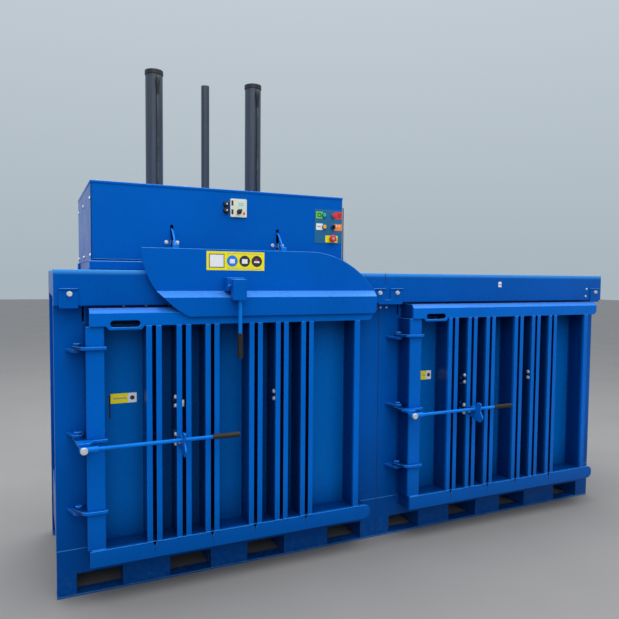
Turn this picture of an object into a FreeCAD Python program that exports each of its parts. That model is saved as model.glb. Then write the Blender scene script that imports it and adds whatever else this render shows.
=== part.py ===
import FreeCAD, Part
import math
import os

# Twin-chamber recycling baler. Two equal chambers stand end to end, and one press head rolls
# along the rails on top of them. X runs along the machine, Y from the doors to the back, Z up.
# The model is drawn from the front left corner of the left column and then moved, so that
# the origin lies on the floor in the middle of the machine.

V = FreeCAD.Vector

# Body, mm
MODULE_LENGTH = 1790.0
BODY_DEPTH = 870.0
RAIL_TOP = 1600.0
SHEET = 6.0

# Base with fork pockets
SKIRT_TOP = 236.0
SKIRT_SHEET = 8.0
POCKETS_FROM_LEFT = (90.0, 545.0)
POCKETS_FROM_RIGHT = (822.0, 328.0)
POCKET_WIDTH = 220.0
POCKET_HEIGHT = 112.0
GROUND_STRIP_DEPTH = 80.0
GROUND_STRIP_THICK = 8.0
FLOOR_THICK = 8.0

# Columns and walls
LEFT_WALL = 150.0
RIGHT_WALL = 225.0
SIDE_RECESS = 30.0
COLUMN_DEPTH = 55.0
SIDE_BEAM_HEIGHT = 122.0
LATCH_SLOT = (128.0, 1350.0, 9.0, 72.0)
LINTEL_BOTTOM = 1400.0
REAR_RIB_FROM_LEFT = 140.0
REAR_RIB_FROM_RIGHT = 215.0
REAR_RIB_COUNT = 5
REAR_RIB_WIDTH = 70.0
REAR_RIB_DEPTH = 40.0
SIDE_RIB_BOTTOM = 200.0
SIDE_RIB_WIDTH = 250.0
SIDE_RIB_DEPTH = 26.0
SIDE_RIB_LENGTH = 400.0

# Rails and their end brackets
RAIL_HEIGHT = 170.0
RAIL_FORWARD = 68.0
RAIL_TRACK = 45.0
RAIL_SHEET = 8.0
RAIL_BRACKET_WIDTH = 82.0
RAIL_BRACKET_HEIGHT = 94.0
RAIL_BRACKET_DROP = 12.0
RAIL_BRACKET_THICK = 8.0
RAIL_BRACKET_LIP = 6.0
OUTER_BRACKET_INSET = 25.0
INNER_BRACKET_LEFT_INSET = 84.0
INNER_BRACKET_RIGHT_INSET = 35.0
SPLICE_HEIGHT = 28.0
BRACKET_BOLT_RISE = 68.0
BRACKET_BOLT_ALONG = 45.0
SPLICE_CHAMFER = 38.0
LINTEL_SCREWS = (322.0, 430.0, 544.0)
CORNER_SCREWS = (10.0, 52.0)
LINTEL_SCREW_Z = 1421.0
CORNER_SCREW_Z = 1397.0
SCREW_RADIUS = 6.5
SCREW_HEIGHT = 3.4

# Doors
DOOR_FRONT = 147.0
DOOR_CLEARANCE = 4.0
DOOR_SHEET = 4.0
PIN_ALONG = 100.0
PIN_FORWARD = 64.5
PIN_RADIUS = 12.0
RUNNING_GAP = 0.05
POST_START = 133.0
POST_WIDTH = 84.0
POST_SETBACK = 10.0
TOP_BAR_START = 150.0
TOP_BAR_BOTTOM = 1335.0
TOP_BAR_HEIGHT = 85.0
TOP_BAR_SLOPE = 23.0
BOTTOM_BAR_START = 143.0
BOTTOM_BAR_BOTTOM = 192.0
BOTTOM_BAR_HEIGHT = 80.0
BAR_END_INSET = 130.0
TOP_BAR_ROUND = 30.0
BOTTOM_BAR_ROUND = 36.0
SLOT_CENTRES = (443.0, 588.0, 732.0, 964.0, 1110.0, 1257.0)
NOTCHED_SLOTS = (0, 2, 3, 5)
SLOT_WIDTH = 20.0
SLAT_WIDTH = 26.0
NOTCH_DEPTH = 26.0
END_SLAT_BACK = 112.0
END_SLAT_WIDTH = 32.0
HAND_SLOT_START = 242.0
HAND_SLOT_LENGTH = 138.0
HAND_SLOT_BOTTOM = 1330.0
HAND_SLOT_HEIGHT = 32.0
HAND_TAB_DROP = 18.0
HAND_TAB_MARGIN = 4.0
HAND_TAB_CHAMFER = 16.0
HAND_REACH = 80.0

# Hinge lugs: the door's lug lies above the frame's at the top and bottom, and below it between
LUG_THICK = 15.0
LUG_GAP = 1.0
LUG_RADIUS = 26.0
LUG_WRAP = 15.0
LUG_TOP_FRAME_Z = 1210.5
LUG_MID_FRAME_Z = 805.5
LUG_LOW_FRAME_Z = 432.5
PIN_HEAD_RADIUS = 16.0
PIN_HEAD_HEIGHT = 12.0
PIN_TAIL = 5.0
SEAT_GAP = 0.3

# Door lever and its catch
LEVER_Z = 778.0
LEVER_FORWARD = 208.0
LEVER_PIVOT_ALONG = 116.0
LEVER_END = 856.0
LEVER_RADIUS = 9.5
LEVER_SLEEVE_RADIUS = 14.0
LEVER_SLEEVE_END = 180.0
LEVER_SLEEVE_START = 99.0
EAR_GAP = 0.3
GRIP_LENGTH = 142.0
GRIP_RADIUS = 13.5
PIVOT_BOLT_RADIUS = 8.0
PIVOT_HEAD_RADIUS = 17.0
PIVOT_HEAD_HEIGHT = 11.0
EAR_THICK = 10.0
CATCH_THICK = 8.0
CATCH_SLOT = 1
CATCH_INSET = 10.0
CATCH_REACH = 76.0
CATCH_DROP = 75.0
CATCH_RISE = 44.0
CATCH_BOLT_HEIGHTS = (757.0, 795.0, 915.0, 950.0)
CATCH_CLEARANCE = 0.8

# Press head
HEAD_START = 172.0
HEAD_LENGTH = 1363.0
HEAD_TOP = 2030.0
HEAD_SHEET = 3.0
LID_SCREWS = 4
LID_SCREW_FROM_LEFT = 33.0
LID_SCREW_FROM_RIGHT = 40.0
CARRIAGE_LIFT = 3.0
CARRIAGE_HEIGHT = 42.0
CARRIAGE_WIDTH = 52.0
CARRIAGE_PLATE = 6.0
CARRIAGE_PROUD = 8.0
CARRIAGE_FORWARD = 6.0
CARRIAGE_ROUND = 5.0
WHEEL_RADIUS = 30.0
WHEEL_WIDTH = 24.0
WHEEL_LIFT = 0.3
WHEEL_INSET = 88.0
AXLE_RADIUS = 8.0
BEAM_BOTTOM = 1730.0
BEAM_HEIGHT = 60.0
BEAM_WIDTH = 140.0
BEAM_WALL = 8.0

# Cylinders, guide and platen
CYLINDER_OFFSET = 295.0
CYLINDER_RADIUS = 48.0
CYLINDER_BORE = 40.0
CYLINDER_BOTTOM = 1700.0
CYLINDER_TOP = 2725.0
GLAND_HEIGHT = 36.0
ROD_RADIUS = 25.0
PISTON_HEIGHT = 46.0
PRESS_CENTRE_SHIFT = -5.0
GUIDE_RADIUS = 23.5
GUIDE_TOP = 2685.0
GUIDE_WALL = 5.0
BUSH_WALL = 9.0
BUSH_OVERHANG = 6.0
CAP_RADIUS = 51.0
CAP_HEIGHT = 26.0
PIPE_RADIUS = 6.0
PIPE_STANDOFF = 58.0
PIPE_ALONG = 10.0
PORT_RADIUS = 5.0
PORT_INSET = 10.0
PIPE_TOP = 2688.0
PIPE_BOTTOM = 1830.0
PLATEN_MARGIN_X = 12.0
PLATEN_MARGIN_Y = 60.0
PLATEN_LIFT = 6.0
PLATEN_SKIN = 10.0
PLATEN_RIB = 10.0
PLATEN_RIB_DROP = 30.0
PLATEN_HEIGHT = 84.0
PAD_HALF_LENGTH = 100.0
PAD_HALF_WIDTH = 80.0
GUIDE_PAD_HALF = 60.0

# Hydraulic unit and electrical cabinet
TANK_CLEARANCE = 24.5
TANK_LENGTH = 170.0
TANK_DEPTH = 200.0
TANK_HEIGHT = 170.0
MOTOR_CLEARANCE = 38.5
MOTOR_LENGTH = 150.0
MOTOR_RADIUS = 68.0
CABINET_DEPTH = 320.0
CABINET_INSET = 12.0
CABINET_BOTTOM = 1675.0
CABINET_HEIGHT = 295.0
CABINET_INSIDE = 95.0
CABINET_PROUD = 10.0
CABINET_DOOR_GAP = 4.0
CABINET_DOOR_THICK = 22.0
CABINET_DOOR_MARGIN = 4.0
KNUCKLE_RADIUS = 4.5
KNUCKLE_OFFSET = 5.0
KNUCKLE_HEIGHT = 10.0
KNUCKLE_PIN = 2.5
KNUCKLE_INSET = 40.0
HINGE_LEAF = 3.0
HINGE_LEAF_ALONG = 8.0

# Apron: an upper sheet, a bend and a lower sheet that stands further forward
APRON_BACK = 97.0
APRON_STEP = 62.0
APRON_SHEET = 4.0
APRON_TOP = 1711.0
APRON_BOTTOM = 1373.0
APRON_BEND_TOP = 1498.0
APRON_BEND_BOTTOM = 1470.0
APRON_INSET = 221.0
APRON_OVERHANG = 163.0
APRON_ARC_BACK = 380.0
APRON_ARC_MIDDLE = (158.0, 69.0)
APRON_CUT_LENGTH = 219.0
APRON_CUT_MIDDLE = (70.0, 127.0)
APRON_CUT_DROP = 61.0
APRON_FOOT_INSET = 21.0
APRON_FOOT_RADIUS = 26.0
HANGER_SPREAD = 288.0
HANGER_RADIUS = 5.0
HANGER_SWEEP = 70.0
HANGER_PIVOT_BACK = 25.0
HANGER_PIVOT_Z = 1744.0
HANGER_PIN_RADIUS = 5.0
HANGER_SLOT_WIDTH = 16.0
HANGER_SLOT_BOTTOM = 1721.0
HANGER_SLOT_TOP = 1833.0
HANGER_EYE_RADIUS = 11.0
HANGER_CHEEK = 5.0
HANGER_CHEEK_GAP = 6.5
HANGER_BOLT_SPREAD = 28.0

# Lock handle on the apron
LOCK_SHIFT = 12.5
LOCK_PLATE_BACK = 57.0
LOCK_PLATE_WIDTH = 84.0
LOCK_PLATE_BOTTOM = 1508.0
LOCK_PLATE_TOP = 1568.0
LOCK_BOX_BACK = 40.0
LOCK_BOX_WIDTH = 67.0
LOCK_BOX_DEPTH = 46.0
LOCK_BOX_BOTTOM = 1455.0
LOCK_BOX_TOP = 1560.0
LOCK_BOX_SEAT = 4.0
LOCK_SHEET = 5.0
LOCK_BOLT_INSET = 9.0
LOCK_BOLT_Z = 1526.0
LOCK_SHELF_Z = 1508.0
LOCK_COLLAR_RADIUS = 16.0
LOCK_COLLAR_HEIGHT = 8.0
LOCK_ROD_RADIUS = 10.0
LOCK_ROD_TOP = 1535.0
LOCK_GRIP_TOP = 1288.0
LOCK_GRIP_LENGTH = 126.0
LOCK_GRIP_RADIUS = 15.0
LOCK_GRIP_CORE = 12.5
LOCK_GRIP_FLOOR = 8.0
LOCK_GRIP_RIBS = 12

# Controls on the head's front panel
PANEL_INSET = 175.0
PANEL_WIDTH = 174.0
PANEL_BOTTOM = 1766.0
PANEL_HEIGHT = 190.0
PANEL_THICK = 2.0
BUTTON_RADIUS = 11.0
BEZEL_RADIUS = 15.0
BEZEL_HEIGHT = 6.0
BUTTON_PROUD = 10.0
BUTTON_GAP = 0.4
BUTTON_TAIL = 6.0
GREEN_BUTTON = (58.0, 159.0)
RED_BUTTON = (118.0, 159.0)
AMBER_BUTTON = (60.0, 93.0)
SELECTOR = (115.0, 93.0)
STOP_BUTTON = (108.0, 28.0)
STOP_RADIUS = 20.0
STOP_STEM_RADIUS = 9.0
SELECTOR_SEAT = 4.0
STOP_STEM = 8.0
STOP_HEAD = 12.0
ISOLATOR_SHIFT = 18.5
ISOLATOR_BOTTOM = 1888.0
ISOLATOR_WIDTH = 90.0
ISOLATOR_HEIGHT = 96.0
ISOLATOR_THICK = 8.0
ISOLATOR_KNOB = (48.0, 29.0)
ISOLATOR_KNOB_RADIUS = 13.0
KNOB_GRIP_WIDTH = 7.0
KNOB_HEIGHT = 16.0
SOCKET_BACK = 22.0
SOCKET_HEIGHTS = (65.0, 32.0)
SOCKET_RADIUS = 15.0
SOCKET_HEIGHT = 14.0


def box(x0, y0, z0, x1, y1, z1):
    return Part.makeBox(x1 - x0, y1 - y0, z1 - z0, V(x0, y0, z0))


def rod(start, direction, radius, length):
    return Part.makeCylinder(radius, length, V(*start), V(*direction))


def place(plane, u, v, w):
    if plane == "XZ":
        return V(u, w, v)
    if plane == "YZ":
        return V(w, u, v)
    return V(u, v, w)


def outline(points, plane, level):
    """Closed face through (u, v) or (u, v, corner radius) points."""
    count = len(points)
    entries, exits, middles = [], [], []
    for i, point in enumerate(points):
        here = V(point[0], point[1], 0)
        radius = point[2] if len(point) > 2 else 0
        if not radius:
            entries.append(here)
            exits.append(here)
            middles.append(None)
            continue
        back = V(points[i - 1][0], points[i - 1][1], 0) - here
        ahead_point = points[(i + 1) % count]
        ahead = V(ahead_point[0], ahead_point[1], 0) - here
        back.normalize()
        ahead.normalize()
        half = back.getAngle(ahead) / 2
        reach = radius / math.tan(half)
        middle_line = back + ahead
        middle_line.normalize()
        centre = here + middle_line * (radius / math.sin(half))
        entries.append(here + back * reach)
        exits.append(here + ahead * reach)
        middles.append(centre - middle_line * radius)
    edges = []
    for i in range(count):
        if middles[i]:
            arc = [place(plane, p.x, p.y, level) for p in (entries[i], middles[i], exits[i])]
            edges.append(Part.Arc(*arc).toShape())
        start = exits[i]
        end = entries[(i + 1) % count]
        if (end - start).Length > 1e-6:
            line = [place(plane, p.x, p.y, level) for p in (start, end)]
            edges.append(Part.LineSegment(*line).toShape())
    return Part.Face(Part.Wire(edges))


def prism(points, plane, low, high):
    return outline(points, plane, low).extrude(place(plane, 0, 0, high - low))


def fuse(shapes):
    whole = shapes[0].multiFuse(list(shapes[1:])) if len(shapes) > 1 else shapes[0]
    return whole.removeSplitter()


def shift(shape, x=0.0, y=0.0, z=0.0):
    moved = shape.copy()
    moved.translate(V(x, y, z))
    return moved


def hollow_bar(points, wall_points, x0, x1, wall):
    """Capped sheet tube along X: an outer YZ section, its inner section and closed ends."""
    outer = prism(points, "YZ", x0, x1)
    inner = prism(wall_points, "YZ", x0 + wall, x1 - wall)
    return outer.cut(inner)


def hex_head(start, direction, across_flats, height):
    """Hexagon head with its face at start and its height along direction, which is an axis."""
    radius = across_flats / math.sqrt(3)
    corners = [V(radius * math.cos(math.radians(60 * i)),
                 radius * math.sin(math.radians(60 * i)), 0) for i in range(7)]
    head = Part.Face(Part.makePolygon(corners)).extrude(V(0, 0, height))
    turn = FreeCAD.Rotation(V(0, 0, 1), V(*direction))
    head.Placement = FreeCAD.Placement(V(*start), turn)
    return head


def pocket_starts():
    return POCKETS_FROM_LEFT + tuple(MODULE_LENGTH - back for back in POCKETS_FROM_RIGHT)


def base_skirts(x0):
    skirts = []
    for y0 in (0.0, BODY_DEPTH - SKIRT_SHEET):
        plate = box(x0, y0, GROUND_STRIP_THICK, x0 + MODULE_LENGTH, y0 + SKIRT_SHEET, SKIRT_TOP)
        for start in pocket_starts():
            plate = plate.cut(box(x0 + start, y0 - 1, 0, x0 + start + POCKET_WIDTH,
                                  y0 + SKIRT_SHEET + 1, POCKET_HEIGHT))
        skirts.append(plate)
    return Part.makeCompound(skirts)


def base_webs(x0):
    y0, y1 = SKIRT_SHEET, BODY_DEPTH - SKIRT_SHEET
    top = SKIRT_TOP - FLOOR_THICK
    webs = []
    for start in pocket_starts():
        end = start + POCKET_WIDTH
        for side in (start - SKIRT_SHEET, end):
            webs.append(box(x0 + side, y0, GROUND_STRIP_THICK, x0 + side + SKIRT_SHEET, y1, top))
        webs.append(box(x0 + start, y0, POCKET_HEIGHT, x0 + end, y1, POCKET_HEIGHT + SHEET))
    left = SIDE_RECESS if x0 == 0.0 else 0.0
    right = 0.0 if x0 == 0.0 else SIDE_RECESS
    for side in (left, MODULE_LENGTH - SKIRT_SHEET - right):
        webs.append(box(x0 + side, y0, GROUND_STRIP_THICK, x0 + side + SKIRT_SHEET, y1, top))
    return Part.makeCompound(webs)


def ground_strips():
    length = 2 * MODULE_LENGTH
    strips = []
    for y0 in (0.0, BODY_DEPTH - GROUND_STRIP_DEPTH):
        strips.append(box(0, y0, 0, length, y0 + GROUND_STRIP_DEPTH, GROUND_STRIP_THICK))
    tie = box(MODULE_LENGTH - GROUND_STRIP_DEPTH, GROUND_STRIP_DEPTH, 0,
              MODULE_LENGTH + GROUND_STRIP_DEPTH, BODY_DEPTH - GROUND_STRIP_DEPTH,
              GROUND_STRIP_THICK)
    return fuse(strips + [tie])


def chamber_floor(x0):
    left = SIDE_RECESS if x0 == 0.0 else 0.0
    right = 0.0 if x0 == 0.0 else SIDE_RECESS
    return box(x0 + left, SKIRT_SHEET, SKIRT_TOP - FLOOR_THICK, x0 + MODULE_LENGTH - right,
               BODY_DEPTH - SKIRT_SHEET, SKIRT_TOP)


def side_wall(x0, width, outer_side=0):
    """Box wall whose front face is the column beside the door.

    On the machine's two ends the wall stands back between the column and the beam above it."""
    top = RAIL_TOP - RAIL_SHEET
    outer = box(x0, 0, SKIRT_TOP, x0 + width, BODY_DEPTH, top)
    inner = box(x0 + SHEET, SHEET, SKIRT_TOP + SHEET, x0 + width - SHEET,
                BODY_DEPTH - SHEET, top - SHEET)
    if outer_side:
        reach, t = SIDE_RECESS, SHEET
        y0, y1 = COLUMN_DEPTH, BODY_DEPTH - COLUMN_DEPTH
        low, high = SKIRT_TOP, top - SIDE_BEAM_HEIGHT
        edge = x0 if outer_side < 0 else x0 + width
        xa, xb = (edge - 1, edge + reach) if outer_side < 0 else (edge - reach, edge + 1)
        outer = outer.cut(box(xa, y0, low - 1, xb, y1, high))
        xa, xb = (edge - 1, edge + reach + t) if outer_side < 0 else (edge - reach - t, edge + 1)
        inner = inner.cut(box(xa, y0 - t, low, xb, y1 + t, high + t))
    return outer.cut(inner)


def latch_slot(x0):
    x, z, width, height = LATCH_SLOT
    return box(x0 + x, -1, z, x0 + x + width, SHEET + 1, z + height)


def rear_wall(x0):
    return box(x0 + LEFT_WALL, BODY_DEPTH - SHEET, SKIRT_TOP, x0 + MODULE_LENGTH - RIGHT_WALL,
               BODY_DEPTH, RAIL_TOP - RAIL_SHEET)


def lintel(x0):
    return box(x0 + LEFT_WALL, 0, LINTEL_BOTTOM, x0 + MODULE_LENGTH - RIGHT_WALL,
               SHEET, RAIL_TOP - RAIL_SHEET)


def rear_ribs():
    ribs = []
    top = RAIL_TOP - RAIL_HEIGHT
    for x0 in (0.0, MODULE_LENGTH):
        last = MODULE_LENGTH - REAR_RIB_FROM_RIGHT
        pitch = (last - REAR_RIB_FROM_LEFT) / (REAR_RIB_COUNT - 1)
        for i in range(REAR_RIB_COUNT):
            start = REAR_RIB_FROM_LEFT + pitch * i
            outer = box(x0 + start, BODY_DEPTH, SKIRT_TOP, x0 + start + REAR_RIB_WIDTH,
                        BODY_DEPTH + REAR_RIB_DEPTH, top)
            inner = box(x0 + start + SHEET, BODY_DEPTH, SKIRT_TOP,
                        x0 + start + REAR_RIB_WIDTH - SHEET,
                        BODY_DEPTH + REAR_RIB_DEPTH - SHEET, top)
            ribs.append(outer.cut(inner))
    return Part.makeCompound(ribs)


def side_ribs():
    ribs = []
    for x0 in (SIDE_RECESS - SIDE_RIB_DEPTH, 2 * MODULE_LENGTH - SIDE_RECESS):
        y0 = (BODY_DEPTH - SIDE_RIB_LENGTH) / 2
        ribs.append(box(x0, y0, SIDE_RIB_BOTTOM, x0 + SIDE_RIB_DEPTH, y0 + SIDE_RIB_LENGTH,
                        SIDE_RIB_BOTTOM + SIDE_RIB_WIDTH))
    return Part.makeCompound(ribs)


def rail(x0, at_back, closed_left, closed_right):
    """Folded rail: a track on top, a deep front web and a bottom return, capped at its end."""
    low = RAIL_TOP - RAIL_HEIGHT
    t = RAIL_SHEET
    x1 = x0 + MODULE_LENGTH
    pieces = [
        box(x0, -RAIL_FORWARD, RAIL_TOP - t, x1, RAIL_TRACK, RAIL_TOP),
        box(x0, -RAIL_FORWARD, low, x1, -RAIL_FORWARD + t, RAIL_TOP),
        box(x0, -RAIL_FORWARD, low, x1, 0, low + t),
    ]
    if closed_left:
        pieces.append(box(x0, -RAIL_FORWARD, low, x0 + t, 0, RAIL_TOP))
    if closed_right:
        pieces.append(box(x1 - t, -RAIL_FORWARD, low, x1, 0, RAIL_TOP))
    shape = fuse(pieces)
    if at_back:
        shape = shape.mirror(V(0, BODY_DEPTH / 2, 0), V(0, 1, 0))
    return shape


def bracket_starts():
    return (OUTER_BRACKET_INSET,
            MODULE_LENGTH - INNER_BRACKET_LEFT_INSET,
            MODULE_LENGTH + INNER_BRACKET_RIGHT_INSET,
            2 * MODULE_LENGTH - OUTER_BRACKET_INSET - RAIL_BRACKET_WIDTH)


def rail_brackets(at_back):
    """Lipped plates on the rail's lower edge, the middle two joined by a splice strip."""
    bottom = RAIL_TOP - RAIL_HEIGHT - RAIL_BRACKET_DROP
    y1 = -RAIL_FORWARD
    y0 = y1 - RAIL_BRACKET_THICK
    plates = []
    for start in bracket_starts():
        end = start + RAIL_BRACKET_WIDTH
        plate = box(start, y0, bottom, end, y1, bottom + RAIL_BRACKET_HEIGHT)
        lip = box(start, y0 - RAIL_BRACKET_LIP, bottom + RAIL_BRACKET_HEIGHT - SHEET, end, y0,
                  bottom + RAIL_BRACKET_HEIGHT)
        plates.append(fuse([plate, lip]))
    first, last = bracket_starts()[1], bracket_starts()[2] + RAIL_BRACKET_WIDTH
    splice = box(first, y0, bottom, last, y1, bottom + SPLICE_HEIGHT)
    corner = prism([(first - 1, bottom - 1), (first + SPLICE_CHAMFER, bottom - 1),
                    (first + SPLICE_CHAMFER, bottom), (first, bottom + SPLICE_CHAMFER),
                    (first - 1, bottom + SPLICE_CHAMFER)], "XZ", y0 - 1, y1 + 1)
    middle = fuse([plates[1], splice, plates[2]]).cut(corner)
    whole = Part.makeCompound([plates[0], middle, plates[3]])
    if at_back:
        whole = whole.mirror(V(0, BODY_DEPTH / 2, 0), V(0, 1, 0))
    return whole


def bracket_bolts():
    z = RAIL_TOP - RAIL_HEIGHT - RAIL_BRACKET_DROP + BRACKET_BOLT_RISE
    face = RAIL_FORWARD + RAIL_BRACKET_THICK
    bolts = []
    for start in bracket_starts():
        x = start + BRACKET_BOLT_ALONG
        washer = rod((x, -face, z), (0, -1, 0), 13.0, 2.0)
        head = hex_head((x, -face - 2.0, z), (0, -1, 0), 19.0, 8.0)
        front = fuse([washer, head])
        bolts.append(front)
        bolts.append(front.mirror(V(0, BODY_DEPTH / 2, 0), V(0, 1, 0)))
    for x in LINTEL_SCREWS:
        bolts.append(rod((x, 0, LINTEL_SCREW_Z), (0, -1, 0), SCREW_RADIUS, SCREW_HEIGHT))
    for x in CORNER_SCREWS:
        bolts.append(rod((MODULE_LENGTH + x, 0, CORNER_SCREW_Z), (0, -1, 0), SCREW_RADIUS,
                         SCREW_HEIGHT))
    return Part.makeCompound(bolts)


def lug_levels():
    """Bottom faces of the frame's lug and of the door's lug, top to bottom."""
    pitch = LUG_THICK + LUG_GAP
    return ((LUG_TOP_FRAME_Z, LUG_TOP_FRAME_Z + pitch),
            (LUG_MID_FRAME_Z, LUG_MID_FRAME_Z - pitch),
            (LUG_LOW_FRAME_Z, LUG_LOW_FRAME_Z + pitch))


def frame_lugs(x0):
    x, y = x0 + PIN_ALONG, -PIN_FORWARD
    lugs = []
    for frame_z, door_z in lug_levels():
        root = prism([(x - 50, 0), (x + 30, 0), (x + LUG_RADIUS, y), (x - LUG_RADIUS, y)],
                     "XY", frame_z, frame_z + LUG_THICK)
        eye = rod((x, y, frame_z), (0, 0, 1), LUG_RADIUS, LUG_THICK)
        hole = rod((x, y, frame_z - 1), (0, 0, 1), PIN_RADIUS, LUG_THICK + 2)
        lugs.append(fuse([root, eye]).cut(hole))
    return Part.makeCompound(lugs)


def hinge_pins(x0):
    x, y = x0 + PIN_ALONG, -PIN_FORWARD
    pins = []
    for frame_z, door_z in lug_levels():
        low = min(frame_z, door_z) - PIN_TAIL
        upper = max(frame_z, door_z) + LUG_THICK
        seat = upper + (SEAT_GAP if door_z > frame_z else 0.0)
        shank = rod((x, y, low), (0, 0, 1), PIN_RADIUS, seat - low)
        head = rod((x, y, seat), (0, 0, 1), PIN_HEAD_RADIUS, PIN_HEAD_HEIGHT)
        head = head.makeChamfer(2.0, [e for e in head.Edges
                                      if e.BoundBox.ZMin > seat + PIN_HEAD_HEIGHT - 1e-3])
        pins.append(fuse([shank, head]))
    return Part.makeCompound(pins)


def door_lugs(x0):
    """Lugs that run from the pin to the post and wrap round its front."""
    x, y = x0 + PIN_ALONG, -PIN_FORWARD
    post = x0 + POST_START
    post_end = post + POST_WIDTH
    post_front = -DOOR_FRONT + POST_SETBACK
    front = post_front - LUG_WRAP
    lugs = []
    for i, (frame_z, door_z) in enumerate(lug_levels()):
        tip = [(post_end + 9, post_front), (post_end + 9, front, 9), (x + 24, front, 30)]
        if i == 1:
            arm = LEVER_PIVOT_ALONG - PIN_ALONG
            ear_front = lever_ear_front()
            tip = [(post_end + 9, post_front), (post_end + 9, front, 9),
                   (x + arm + 46, front), (x + arm + 26, ear_front, 8),
                   (x + arm - 22, ear_front, 8)]
        points = [(x - LUG_RADIUS * 0.96, y - 10), (x - 10, y + 24), (post, y + 34),
                  (post, post_front)] + tip
        plate = prism(points, "XY", door_z, door_z + LUG_THICK)
        eye = rod((x, y, door_z), (0, 0, 1), LUG_RADIUS, LUG_THICK)
        lug = fuse([plate, eye])
        if i == 1:
            lug = fuse([lug, lever_ear(x0, door_z)])
        hole = rod((x, y, door_z - 1), (0, 0, 1), PIN_RADIUS + RUNNING_GAP, LUG_THICK + 2)
        lug = lug.cut(hole)
        lugs.append(lug)
    return Part.makeCompound(lugs)


def lever_ear_front():
    return -LEVER_FORWARD + LEVER_SLEEVE_RADIUS + EAR_GAP


def lever_ear(x0, top):
    """Ear under the middle lug that carries the lever's pivot bolt."""
    x = x0 + LEVER_PIVOT_ALONG
    y1 = lever_ear_front()
    ear = prism([(x - 20, top), (x - 20, LEVER_Z - 20, 16), (x + 22, LEVER_Z - 20, 16),
                 (x + 22, top)], "XZ", y1, y1 + EAR_THICK)
    hole = rod((x, y1 - 1, LEVER_Z), (0, 1, 0), PIVOT_BOLT_RADIUS, EAR_THICK + 2)
    return ear.cut(hole)


def door_post(x0):
    low = BOTTOM_BAR_BOTTOM + BOTTOM_BAR_HEIGHT
    y0, y1 = -DOOR_FRONT + POST_SETBACK, -DOOR_CLEARANCE
    x = x0 + POST_START
    outer = prism([(x, y0, 8), (x, y1, 8), (x + POST_WIDTH, y1, 8), (x + POST_WIDTH, y0, 8)],
                  "XY", low, TOP_BAR_BOTTOM)
    inner = box(x + SHEET, y0 + SHEET, low + SHEET, x + POST_WIDTH - SHEET, y1 - SHEET,
                TOP_BAR_BOTTOM - SHEET)
    return outer.cut(inner)


def bar_end():
    return MODULE_LENGTH - BAR_END_INSET


def door_top_bar(x0):
    low, high = TOP_BAR_BOTTOM, TOP_BAR_BOTTOM + TOP_BAR_HEIGHT
    y0, y1, t = -DOOR_FRONT, -DOOR_CLEARANCE, DOOR_SHEET
    section = [(y1, low), (y0, low), (y0, high - TOP_BAR_SLOPE), (y0 + TOP_BAR_SLOPE, high),
               (y1, high)]
    inner = [(y1 - t, low + t), (y0 + t, low + t), (y0 + t, high - TOP_BAR_SLOPE - t / 2),
             (y0 + TOP_BAR_SLOPE + t / 2, high - t), (y1 - t, high - t)]
    xa, xb = x0 + TOP_BAR_START, x0 + bar_end()
    bar = hollow_bar(section, inner, xa, xb, t)
    face = prism([(xa, low), (xa, high), (xb, high), (xb, low, TOP_BAR_ROUND)], "XZ", y0, y1)
    bar = bar.common(face)
    sa = x0 + HAND_SLOT_START
    sb = sa + HAND_SLOT_LENGTH
    edge = low - HAND_TAB_DROP
    tab = prism([(sa - HAND_TAB_MARGIN - HAND_TAB_CHAMFER, low + t),
                 (sa - HAND_TAB_MARGIN - HAND_TAB_CHAMFER, low), (sa - HAND_TAB_MARGIN, edge),
                 (sb + HAND_TAB_MARGIN, edge), (sb + HAND_TAB_MARGIN + HAND_TAB_CHAMFER, low),
                 (sb + HAND_TAB_MARGIN + HAND_TAB_CHAMFER, low + t)], "XZ", y0, y0 + t)
    half = HAND_SLOT_HEIGHT / 2 - 0.01
    z0, z1 = HAND_SLOT_BOTTOM, HAND_SLOT_BOTTOM + HAND_SLOT_HEIGHT
    slot = prism([(sa, z0, half), (sb, z0, half), (sb, z1, half), (sa, z1, half)],
                 "XZ", y0 - 1, y0 + HAND_REACH)
    return fuse([bar, tab]).cut(slot)


def door_bottom_bar(x0):
    low, high = BOTTOM_BAR_BOTTOM, BOTTOM_BAR_BOTTOM + BOTTOM_BAR_HEIGHT
    y0, y1, t = -DOOR_FRONT, -DOOR_CLEARANCE, DOOR_SHEET
    section = [(y1, low), (y0, low), (y0, high), (y1, high)]
    inner = [(y1 - t, low + t), (y0 + t, low + t), (y0 + t, high - t), (y1 - t, high - t)]
    xa, xb = x0 + BOTTOM_BAR_START, x0 + bar_end()
    bar = hollow_bar(section, inner, xa, xb, t)
    face = prism([(xa, low), (xa, high), (xb, high, BOTTOM_BAR_ROUND),
                  (xb, low, BOTTOM_BAR_ROUND)], "XZ", y0, y1)
    bar = bar.common(face)
    half = SLOT_WIDTH / 2
    for i in NOTCHED_SLOTS:
        x = x0 + SLOT_CENTRES[i]
        notch = prism([(x - half, high + 1), (x, high - NOTCH_DEPTH), (x + half, high + 1)],
                      "XZ", y0 - 1, y0 + t + 1)
        bar = bar.cut(notch)
    return bar


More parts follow.
